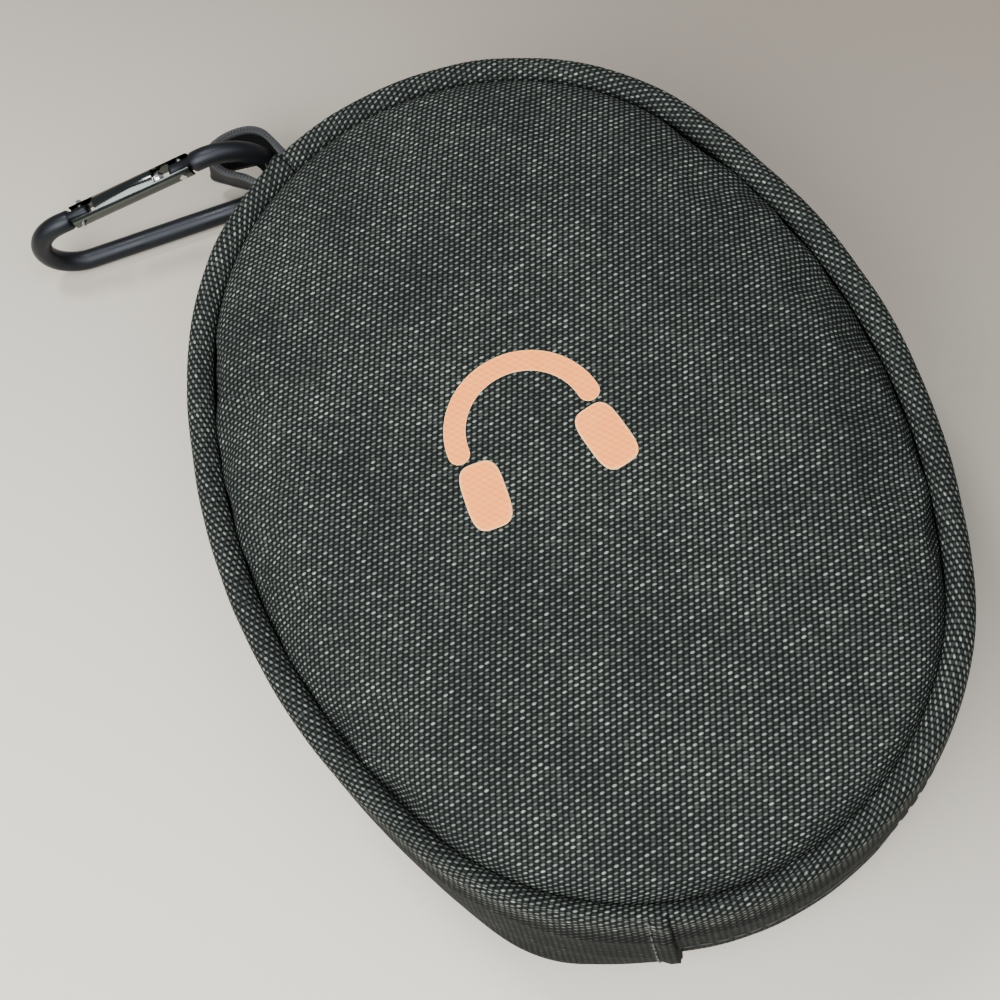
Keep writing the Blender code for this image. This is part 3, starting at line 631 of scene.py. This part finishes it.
def build_walls(looks):
    front_edge, back_edge = ZIP_Z + 5.0, ZIP_Z - 5.0
    start, stop = LOOP_END + 0.3, HEM - 0.3
    for prefix, body, face, seam_z, edge in (("front", "lid", 1, FRONT_SEAM, front_edge),
                                             ("back", "base", -1, BACK_SEAM, back_edge)):
        outline = soften(gusset_outline(seam_z, edge, face))
        gusset = wall(prefix + "_wall", outline, looks["gusset"], start, stop,
                      shape=flared_wall if face > 0 else cloth_wall)
        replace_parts(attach(gusset, body), prefix + "_gusset")
        near = ZIP_Z + face * 0.5
        tape = soften([(0.7, near), (1.5, near), (1.5, near + face * 4),
                       (1.4, near + face * 10), (0.8, near + face * 10),
                       (0.8, near + face * 4)], 2)
        tape = wall(prefix + "_tape", tape, looks["tape"], start, stop)
        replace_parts(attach(tape, body), prefix + "_zip_tape")
        low = seam_z - face * 5.8
        lining = soften([(-0.6, ZIP_Z + face * 5.5), (0.3, ZIP_Z + face * 5.5), (0.3, low), (-0.6, low)], 2)
        lining = wall(prefix + "_wall_inside", lining, looks["lining"], start, stop, 3.0)
        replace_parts(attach(lining, body), prefix + "_wall_lining")
        tip, root = seam_z - face * 5.6, seam_z - face * 3.7
        fold = soften([(-4.4, tip), (-0.4, tip), (-0.4, root), (-4.4, root)], 3)
        fold = wall(prefix + "_seam_binding", fold, looks["binding"], step=1.5, shape=cloth_wall)
        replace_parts(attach(fold, body), prefix + "_binding")
    front = gusset_outline(FRONT_SEAM, 28.0, 1)
    back = gusset_outline(BACK_SEAM, 15.0, -1)
    outline = front[:8] + [(4.8, 30.0), (4.9, 24.0), (4.8, 18.0)] + back[:8][::-1] + back[-1:] + back[-2:-1]
    outline += [(1.8, 18.0), (1.8, 24.0), (1.8, 30.0)] + front[-2:]
    spine = wall("spine_cloth", soften(outline), looks["gusset"], HEM - 1.0, PERIMETER + LOOP_END + 1.0,
                 shape=spine_shape)
    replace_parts(spine, "spine")
    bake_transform(spine)
    low, high = BACK_SEAM + 6.0, FRONT_SEAM - 6.0
    rows = [low + (high - low) * index / 10 for index in range(11)]
    outline = [(-0.5, height) for height in rows] + [(0.5, height) for height in rows[::-1]]
    inside = wall("spine_inside", outline, looks["lining"], HEM + 0.3, PERIMETER + LOOP_END - 0.3, 3.0)
    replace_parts(inside, "spine_lining")
    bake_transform(inside)
    return spine


# ------------------------------------------------------------ repeated detail

def repeat_tree(name, build_item, look):
    """Geometry Nodes tree that sets one item at every pitch along a path, X along the path and Z up."""
    tree = bpy.data.node_groups.new(name, "GeometryNodeTree")
    tree.interface.new_socket("Geometry", in_out="INPUT", socket_type="NodeSocketGeometry")
    pitch = tree.interface.new_socket("Pitch", in_out="INPUT", socket_type="NodeSocketFloat")
    length = tree.interface.new_socket("Length", in_out="INPUT", socket_type="NodeSocketFloat")
    radius = tree.interface.new_socket("Radius", in_out="INPUT", socket_type="NodeSocketFloat")
    tree.interface.new_socket("Geometry", in_out="OUTPUT", socket_type="NodeSocketGeometry")
    entry = tree.nodes.new("NodeGroupInput")
    points = node(tree, "GeometryNodeResampleCurve", entry.outputs["Geometry"],
                  inputs={"Length": entry.outputs["Pitch"]}, mode="LENGTH")
    tangent = node(tree, "GeometryNodeInputTangent")
    # Teeth stay upright; a stitch follows its row wherever it goes
    pivot = "Z" if build_item is tooth_item else "AUTO"
    turn = node(tree, "FunctionNodeAlignRotationToVector", inputs={"Vector": tangent}, axis="X",
                pivot_axis=pivot)
    item = build_item(tree, entry.outputs["Length"], entry.outputs["Radius"])
    placed = node(tree, "GeometryNodeInstanceOnPoints", points, inputs={"Instance": item, "Rotation": turn})
    solid = node(tree, "GeometryNodeRealizeInstances", placed)
    dressed = node(tree, "GeometryNodeSetMaterial", solid, inputs={"Material": look})
    leave = tree.nodes.new("NodeGroupOutput")
    tree.links.new(dressed, leave.inputs["Geometry"])
    return tree, {"pitch": pitch.identifier, "length": length.identifier, "radius": radius.identifier}


def stitch_item(tree, length, radius):
    """One stitch: a plump thread that dips into the cloth at both ends."""
    ball = node(tree, "GeometryNodeMeshUVSphere", inputs={"Segments": 8, "Rings": 6, "Radius": 1.0})
    half = node(tree, "ShaderNodeMath", length, 0.5, operation="MULTIPLY")
    size = node(tree, "ShaderNodeCombineXYZ", half, radius, radius)
    return node(tree, "GeometryNodeTransform", ball, inputs={"Scale": size})


def tooth_item(tree, length, radius):
    """One turn of the coil: a rounded leg across the tape with a bead at its meshing end."""
    leg = node(tree, "GeometryNodeMeshUVSphere", inputs={"Segments": 8, "Rings": 6, "Radius": 1.0})
    half = node(tree, "ShaderNodeMath", length, 0.5, operation="MULTIPLY")
    size = node(tree, "ShaderNodeCombineXYZ", radius, radius, half)
    leg = node(tree, "GeometryNodeTransform", leg, inputs={"Scale": size})
    bead = node(tree, "GeometryNodeMeshUVSphere", inputs={"Segments": 8, "Rings": 6, "Radius": 1.0})
    wide = node(tree, "ShaderNodeMath", radius, 1.35, operation="MULTIPLY")
    size = node(tree, "ShaderNodeCombineXYZ", wide, wide, wide)
    sink = node(tree, "ShaderNodeMath", half, -0.62, operation="MULTIPLY")
    place = node(tree, "ShaderNodeCombineXYZ", 0.0, 0.0, sink)
    bead = node(tree, "GeometryNodeTransform", bead, inputs={"Scale": size, "Translation": place})
    both = tree.nodes.new("GeometryNodeJoinGeometry")
    tree.links.new(leg, both.inputs[0])
    tree.links.new(bead, both.inputs[0])
    return both.outputs[0]


def repeat_along(name, path, tree, sockets, pitch, length, radius, flip=False):
    """Run a repeat tree over a path of millimetre points and keep the plain mesh that it makes."""
    curve = bpy.data.curves.new(name + "_path", "CURVE")
    curve.dimensions = "3D"
    spline = curve.splines.new("POLY")
    spline.points.add(len(path) - 1)
    for point, spot in zip(spline.points, path):
        height = -spot[2] if flip else spot[2]
        point.co = (spot[0] * MM, spot[1] * MM, height * MM, 1.0)
    guide = link(bpy.data.objects.new(name + "_path", curve))
    modifier = guide.modifiers.new("repeat", "NODES")
    modifier.node_group = tree
    modifier[sockets["pitch"]] = pitch * MM
    modifier[sockets["length"]] = length * MM
    modifier[sockets["radius"]] = radius * MM
    graph = bpy.context.evaluated_depsgraph_get()
    mesh = bpy.data.meshes.new_from_object(guide.evaluated_get(graph), depsgraph=graph)
    if flip:
        mesh.transform(Matrix.Diagonal((1.0, 1.0, -1.0, 1.0)))
        mesh.flip_normals()
    mesh.polygons.foreach_set("use_smooth", [True] * len(mesh.polygons))
    bpy.data.objects.remove(guide, do_unlink=True)
    return link(bpy.data.objects.new(name, mesh))


def wall_path(start, stop, outward, height, step=1.0):
    runs = np.linspace(start, stop, max(2, round((stop - start) / step)))
    spots, normals = seam(runs)
    return [(spot[0] + normal[0] * outward, spot[1] + normal[1] * outward, height)
            for spot, normal in zip(spots, normals)]


def build_zip(looks):
    tree, sockets = repeat_tree("coil", tooth_item, looks["coil"])
    begin, end, pitch = LOOP_END + 3.3, HEM - 3.3, 1.5
    for prefix, body, face in (("front", "lid", 1), ("back", "base", -1)):
        shift = 0.0 if face > 0 else pitch / 2
        path = wall_path(begin + shift, end, 2.3, ZIP_Z + face * 1.35)
        teeth = repeat_along(prefix + "_coil", path, tree, sockets, pitch, 3.9, 0.46, flip=face < 0)
        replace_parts(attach(teeth, body), prefix + "_zip_teeth")


def build_stitches(looks, spine):
    tree, sockets = repeat_tree("stitch_row", stitch_item, looks["thread"])
    start, stop = LOOP_END + 3.0, HEM - 3.0
    for prefix, body, face, edge in (("front", "lid", 1, ZIP_Z + 5.0), ("back", "base", -1, ZIP_Z - 5.0)):
        cloth = bpy.data.objects[prefix + "_wall"]
        surface = BVHTree.FromObject(cloth, bpy.context.evaluated_depsgraph_get())
        path = on_surface(surface, wall_path(start, stop, 12.0, edge + face * 3.4), 0.1)
        row = repeat_along(prefix + "_wall_stitches", path, tree, sockets, 2.9, 2.4, 0.16)
        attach(row, body)
        path = wall_path(start, stop, 1.62, ZIP_Z + face * 3.3)
        row = repeat_along(prefix + "_coil_stitches", path, tree, sockets, 1.5, 1.3, 0.16)
        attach(row, body)
    surface = BVHTree.FromObject(spine, bpy.context.evaluated_depsgraph_get())
    for name, run in (("hem_stitches", HEM + 2.2), ("loop_hem_stitches", PERIMETER + LOOP_END - 2.2)):
        spot, normal = seam(np.array([run]))
        heights = np.linspace(BACK_SEAM + 0.5, FRONT_SEAM + 0.5, 60)
        start = spot[0] + normal[0] * 14
        path = [(start[0], start[1], height) for height in heights]
        path = on_surface(surface, path, 0.1)
        row = repeat_along(name, path, tree, sockets, 2.9, 2.5, 0.2)
        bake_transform(row)


def on_surface(surface, path, lift):
    """Slide the path's points horizontally inwards onto a surface."""
    landed = []
    for x, y, z in path:
        spot = Vector((x, y, z)) * MM
        centre = Vector((0, math.copysign(END_Y, y) if abs(y) > END_Y else y, z)) * MM
        hit, _, _, _ = surface.ray_cast(spot, (centre - spot).normalized())
        if hit:
            out = (spot - centre).normalized() * lift * MM
            landed.append((hit + out) / MM)
    return landed


# -------------------------------------------------------------------- print

def build_print(looks, cover):
    """Stencilled headphone sign: a headband and two ear cups, pressed onto the front cover."""
    graph = bpy.context.evaluated_depsgraph_get()
    surface = BVHTree.FromObject(cover, graph)
    middle = Vector((-3.2, 3.5))
    verts, faces, edges, uvs = [], [], [], []

    def drop(x, y, edge):
        spot = Vector((x, y)) * 0.86 + middle
        hit, _, _, _ = surface.ray_cast(Vector((spot.x * MM, spot.y * MM, 0.1)), Vector((0, 0, -1)))
        verts.append((spot.x, spot.y, hit.z / MM + 0.07))
        edges.append(edge)
        uvs.append((spot.x, spot.y))
        return len(verts) - 1

    def patch(outline, spine_points):
        """Fill between an outline and a matching inner line, with a narrow band for the cut edge."""
        shares = [0.0, 0.05, 0.12, 0.3, 0.5, 0.7, 0.85, 1.0]
        rows = []
        for share in shares:
            edge = max(0.0, 1.0 - share / 0.09)
            rows.append([drop(*outline[index].lerp(spine_points[index], share), edge)
                         for index in range(len(outline))])
        for near, far in zip(rows, rows[1:]):
            for index in range(len(outline)):
                after = (index + 1) % len(outline)
                faces.append((near[index], near[after], far[after], far[index]))

    band, half = 14.8, 2.3
    outline, centre = [], []
    begin, end, steps = math.radians(4), math.radians(176), 60
    for step in range(steps + 1):
        turn = begin + (end - begin) * step / steps
        way = Vector((math.cos(turn), math.sin(turn)))
        outline.append(way * (band + half))
        centre.append(way * band)
    for step in range(1, 12):
        turn = math.pi * step / 12
        way = Vector((math.cos(end), math.sin(end)))
        side = Vector((-math.sin(end), math.cos(end)))
        outline.append(way * band + (way * math.cos(turn) + side * math.sin(turn)) * half)
        centre.append(way * band)
    for step in range(steps + 1):
        turn = end + (begin - end) * step / steps
        way = Vector((math.cos(turn), math.sin(turn)))
        outline.append(way * (band - half))
        centre.append(way * band)
    for step in range(1, 12):
        turn = math.pi * step / 12
        way = Vector((math.cos(begin), math.sin(begin)))
        side = Vector((math.sin(begin), -math.cos(begin)))
        outline.append(way * band + (-way * math.cos(turn) + side * math.sin(turn)) * half)
        centre.append(way * band)
    patch(outline, centre)
    for side in (-1, 1):
        lean = Matrix.Rotation(math.radians(7 * side), 2)
        outline, centre = [], []
        for step in range(72):
            turn = 2 * math.pi * step / 72
            across = math.copysign(abs(math.cos(turn)) ** 0.55, math.cos(turn)) * 4.4
            tall = math.copysign(abs(math.sin(turn)) ** 0.55, math.sin(turn)) * 7.4
            outline.append(lean @ Vector((across, tall)) + Vector((side * 13.6, -9.6)))
            centre.append(lean @ Vector((0, tall * 0.4)) + Vector((side * 13.6, -9.6)))
        patch(outline, centre)
    mark = mesh_object("headphone_print", verts, faces, looks["print"], uvs)
    layer = mark.data.attributes.new("edge", "FLOAT", "POINT")
    layer.data.foreach_set("value", edges)
    up = sum(face.normal.z for face in mark.data.polygons)
    if up < 0:
        mark.data.flip_normals()
    bm = bmesh.new()
    bm.from_mesh(mark.data)
    bmesh.ops.remove_doubles(bm, verts=bm.verts, dist=1e-6)
    bm.to_mesh(mark.data)
    bm.free()
    thick = mark.modifiers.new("film", "SOLIDIFY")
    thick.thickness = 0.12 * MM
    thick.offset = -1.0
    apply_modifiers(mark)
    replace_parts(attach(mark, "lid"), "printed_mark")


# --------------------------------------------------------------- loop, hook

def build_loop(looks):
    """Ribbon loop, a ribbed strip with raised selvedges."""
    low, high = node_box("hang_loop")
    tall = high.z - low.z
    # Plan of the middle of the ribbon, and how far its upper edge leans from its lower one
    knots = [(-22.5, 83.4, -4.0, -2.0), (-17.6, 93.0, -5.5, -2.5), (-18.2, 101.5, -4.5, -2.5),
             (-22.6, 109.6, -1.0, 0.0), (-29.5, 112.6, 1.0, 0.0), (-36.0, 112.2, 2.0, -3.0),
             (-34.0, 107.2, 0.0, -5.0), (-29.6, 102.4, 0.0, -5.5), (-26.2, 96.0, 0.0, -6.0),
             (-24.9, 82.5, 0.0, -6.0)]
    points = smooth_path(knots, 14)
    half, rows = 0.55, 14
    lips = (0, 1, rows - 1, rows)
    section = [(half + (0.2 if index in lips else 0.0), index / rows - 0.5) for index in range(rows + 1)]
    section = section + [(-out, share) for out, share in section[::-1]]
    verts, uvs, rim_low, rim_high = [], [], [], []
    way = 0.0
    for index, point in enumerate(points):
        before, after = points[max(index - 1, 0)], points[min(index + 1, len(points) - 1)]
        along = Vector((after[0] - before[0], after[1] - before[1])).normalized()
        side = Vector((along.y, -along.x))
        if index:
            way += (Vector(point[:2]) - Vector(points[index - 1][:2])).length
        for out, share in section:
            wave = 0.2 * ripple(way, 0, share * tall, 8, 3)
            verts.append((point[0] + point[2] * share + side.x * (out + wave),
                          point[1] + point[3] * share + side.y * (out + wave), low.z + tall * (share + 0.5)))
            uvs.append((way, share * tall + (20 if out < 0 else 0)))
        rim_low.append(Vector(verts[-1]).lerp(Vector(verts[-len(section)]), 0.5))
        rim_high.append(Vector(verts[rows - len(section)]).lerp(Vector(verts[rows + 1 - len(section)]), 0.5))
    faces = sweep_grid([range(len(section))] * len(points), False, True)
    ribbon = mesh_object("ribbon_loop", verts, faces, looks["ribbon"], uvs)
    ribbon.data.materials.append(looks["selvedge"])
    size = len(section)
    edge_rows = {0, rows - 1, rows, rows + 1, 2 * rows, 2 * rows + 1}
    for index in range(size * (len(points) - 1)):
        ribbon.data.polygons[index].material_index = int(index % size in edge_rows)
    face_outwards(ribbon)
    tree, sockets = repeat_tree("overlock", stitch_item, looks["selvedge"])
    for name, path in (("upper_overlock", rim_high), ("lower_overlock", rim_low)):
        row = repeat_along(name, path, tree, sockets, 0.75, 0.6, 0.42)
        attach(row, "loop")
    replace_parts(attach(ribbon, "loop"), "hang_loop")


HOOK_END = Vector((-22.0, 103.2, 0.0))
HOOK_TURN = math.radians(171.3)
HOOK_PLACE = Matrix.Translation(HOOK_END) @ Matrix.Rotation(HOOK_TURN, 4, "Z")
PIVOT = Vector((19.8, 23.9))
LATCH = Vector((44.3, 19.7))
HOOK_LENGTH = 59.0
ROD_RADIUS = 2.25
ROD_LOW = 2.45
SMALL_BEND = 11.2
LARGE_BEND = 8.22


def rod_along(name, line, look, sides=28):
    """Round rod through (centre, half across, half tall) stations in the hook's plane."""
    verts = []
    for index, (centre, across, tall) in enumerate(line):
        before, after = line[max(index - 1, 0)][0], line[min(index + 1, len(line) - 1)][0]
        along = (after - before).normalized()
        up = Vector((-along.y, along.x))
        for step in range(sides):
            turn = 2 * math.pi * step / sides
            spot = centre + up * (tall * math.sin(turn))
            verts.append(HOOK_PLACE @ Vector((spot.x, across * math.cos(turn), spot.y)))
    faces = sweep_grid([range(sides)] * len(line), False, True)
    return face_outwards(mesh_object(name, verts, faces, look))


def build_hook(looks):
    rod = ROD_RADIUS
    way = (LATCH - PIVOT).normalized()
    meet = 90 + math.degrees(math.atan2(way.y, way.x))
    near = Vector((rod + SMALL_BEND, ROD_LOW + SMALL_BEND))
    far = Vector((HOOK_LENGTH - rod - LARGE_BEND, ROD_LOW + LARGE_BEND))
    line = [(PIVOT + way * 2.6, 1.4, 0.9), (PIVOT + way * 2.3, 1.4, 1.5), (PIVOT + way * 1.6, 1.4, 1.75),
            (PIVOT - way * 2.6, 1.4, 1.8), (PIVOT - way * 2.75, 1.9, 2.0), (PIVOT - way * 3.2, rod, 2.15)]
    for step in range(33):
        turn = math.radians(meet + step * (270 - meet) / 32)
        line.append((near + Vector((math.cos(turn), math.sin(turn))) * SMALL_BEND, rod, rod))
    for step in range(1, 8):
        line.append((Vector((near.x + (far.x - near.x) * step / 8, ROD_LOW)), rod, rod))
    for step in range(37):
        turn = math.radians(-90 + step * (meet + 90) / 36)
        line.append((far + Vector((math.cos(turn), math.sin(turn))) * LARGE_BEND, rod, rod))
    line += [(LATCH + way * 3.0, rod, 2.15), (LATCH + way * 2.5, 1.9, 2.0), (LATCH + way * 2.35, 1.4, 1.8),
             (LATCH - way * 1.4, 1.4, 1.75), (LATCH - way * 2.0, 1.4, 1.4), (LATCH - way * 2.2, 1.4, 0.8)]
    body = rod_along("hook_rod", line, looks["anodised"])
    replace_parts(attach(body, "hook"), "hook_body")

    reach = (LATCH - PIVOT).length
    slope = math.atan2(LATCH.y - PIVOT.y, LATCH.x - PIVOT.x)
    place = HOOK_PLACE @ Matrix.Translation((PIVOT.x, 0, PIVOT.y)) @ Matrix.Rotation(-slope, 4, "Y")
    sides, outer, bore = 40, 2.5, 1.7
    stations = [(-2.4, outer - 0.25), (-2.15, outer), (reach + 1.75, outer), (reach + 2.0, outer - 0.25),
                (reach + 2.0, bore), (-2.4, bore)]
    turns = [2 * math.pi * step / sides for step in range(sides)]
    verts = [(along, radius * math.cos(turn), radius * math.sin(turn))
             for along, radius in stations for turn in turns]
    faces = sweep_grid([range(sides)] * len(stations), True, True)
    gate = face_outwards(mesh_object("gate_sleeve", verts, faces, looks["gloss"]))
    for name, low, high in (("near_slot", -4.0, 6.2), ("far_slot", reach - 4.2, reach + 4.0)):
        bm = bmesh.new()
        size = Matrix.Translation(((low + high) / 2 * MM, 0, 0)) @ Matrix.Diagonal(
            ((high - low) * MM, 3.5 * MM, 8 * MM, 1))
        bmesh.ops.create_cube(bm, size=1.0, matrix=size)
        mesh = bpy.data.meshes.new(name)
        bm.to_mesh(mesh)
        bm.free()
        tool = link(bpy.data.objects.new(name, mesh))
        cut = gate.modifiers.new(name, "BOOLEAN")
        cut.solver = "EXACT"
        cut.object = tool
    round_off = gate.modifiers.new("edges", "BEVEL")
    round_off.width = 0.12 * MM
    round_off.segments = 2
    round_off.limit_method = "ANGLE"
    round_off.angle_limit = math.radians(40)
    apply_modifiers(gate)
    for name in ("near_slot", "far_slot"):
        bpy.data.objects.remove(bpy.data.objects[name], do_unlink=True)
    gate.data.transform(Matrix.Scale(MM, 4) @ place @ Matrix.Scale(1 / MM, 4))
    gate.data.polygons.foreach_set("use_smooth", [True] * len(gate.data.polygons))
    gate.data.set_sharp_from_angle(angle=math.radians(35))
    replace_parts(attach(gate, "gate"), "gate_tube")


# --------------------------------------------------------------------- set

def build_stage():
    """Pale floor under three soft lights. Its colour fades across the scene, standing in for light that
    falls off to one side, and shows as a darker band from behind."""
    floor, tree = new_material("pale_floor")
    spot = node(tree, "ShaderNodeTexCoord", out="Object")
    way = node(tree, "ShaderNodeVectorMath", spot, (-0.80, -0.60, 0.0), operation="DOT_PRODUCT", out="Value")
    way = node(tree, "ShaderNodeMath", way, 0.17, operation="ADD")
    way = node(tree, "ShaderNodeMath", way, operation="ABSOLUTE")
    share = node(tree, "ShaderNodeMapRange", way, inputs={"From Min": 0.0, "From Max": 0.3},
                 interpolation_type="SMOOTHSTEP")
    colour = node(tree, "ShaderNodeMix", share, data_type="RGBA",
                  inputs={6: linear("#7f776d"), 7: linear("#d6d0c4")}, out=2)
    shader = node(tree, "ShaderNodeBsdfPrincipled",
                  inputs={"Base Color": colour, "Roughness": 0.8, "Specular IOR Level": 0.2})
    finish_material(floor, shader)
    reach = 3000
    corners = [(-reach, -reach, -0.1), (reach, -reach, -0.1), (reach, reach, -0.1), (-reach, reach, -0.1)]
    ground = mesh_object("floor", corners, [(0, 1, 2, 3)], floor, smooth=False)
    world = bpy.data.worlds.new("room")
    world.use_nodes = True
    world.node_tree.nodes["Background"].inputs["Color"].default_value = linear("#dde2e8")
    world.node_tree.nodes["Background"].inputs["Strength"].default_value = 0.42
    bpy.context.scene.world = world
    for name, spot, size, power in (("key", (-340, -230, 500), 500, 7.6),
                                    ("strip", (-90, 330, 760), 150, 3.6),
                                    ("top", (180, -240, 800), 500, 4.3)):
        data = bpy.data.lights.new(name, "AREA")
        data.size = size * MM
        data.energy = power
        lamp = link(bpy.data.objects.new(name, data))
        lamp.location = Vector(spot) * MM
        lamp.rotation_euler = (Vector((0, 0, 20)) - Vector(spot)).to_track_quat("-Z", "Y").to_euler()


def dress(name, look):
    """Give a CAD node that stays its finished material."""
    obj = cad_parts[name]
    for place in obj.material_slots:
        place.material = look


def main():
    place_camera()
    looks = {
        "panel": woven_nylon("ballistic_nylon_plain_weave_panel", GRAIN),
        # The strip's wall below its rolled rim carries painted shade
        "gusset": woven_nylon("ballistic_nylon_plain_weave_strip_painted_wall_shade", 0.0, painted_wall_shade=(11.0, 15.0, 0.22)),
        "foam": speckled("closed_cell_foam_skived", "#3a3a3c", 0.9, grain=14, depth=0.12, vary=0.25),
        "lining": ribbed_cloth("tricot_lining_brushed", "#17181a", 0.9, 0.08, 0.95, sheen=0.5, cross=0.7),
        "tape": ribbed_cloth("zip_tape_woven_polyester", "#121315", 0.55, 0.08, 0.7, cross=1.1),
        "binding": ribbed_cloth("seam_binding_woven_polyester", "#131416", 0.6, 0.08, 0.75),
        "ribbon": ribbed_cloth("hang_ribbon_grosgrain", "#06070a", 0.5, 0.05, 0.75, sheen=0.0),
        "selvedge": ribbed_cloth("ribbon_selvedge_overlocked", "#3a3c3e", 0.4, 0.1, 0.8, sheen=0.1),
        "thread": ribbed_cloth("sewing_thread_bonded_nylon", "#1d2021", 0.35, 0.05, 0.5, source="object"),
        "coil": speckled("nylon_coil_moulded", "#101112", 0.38, grain=20, depth=0.02),
        "zinc": speckled("zinc_casting_black_enamel", "#121314", 0.35, 0.0, grain=25, depth=0.02, coat=0.3),
        "rubber": speckled("soft_rubber_moulded", "#151617", 0.62, grain=40, depth=0.03),
        "anodised": speckled("aluminium_black_anodised_satin", "#282a2e", 0.42, 0.85, grain=60, depth=0.012,
                             vary=0.1),
        "gloss": speckled("aluminium_black_anodised_polished", "#505452", 0.16, 1.0, grain=8,
                          depth=0.0008, vary=0.05, spread=0.03),
        "steel": speckled("steel_pin_bright_drawn", "#c9c9c4", 0.2, 1.0, grain=50, depth=0.006),
        "print": printed_film("heat_transfer_film_satin", GRAIN),
    }
    faces = build_faces(looks)
    spine = build_walls(looks)
    build_zip(looks)
    build_stitches(looks, spine)
    build_print(looks, faces["front"])
    build_loop(looks)
    build_hook(looks)
    for name in ("slider_body", "pull_tab", "zip_top_stop", "zip_bottom_stop"):
        dress(name, looks["zinc"])
    dress("pull_grip", looks["rubber"])
    for name in ("gate_pivot_pin", "gate_latch_pin", "gate_plunger", "gate_spring"):
        dress(name, looks["steel"])
    build_stage()


main()
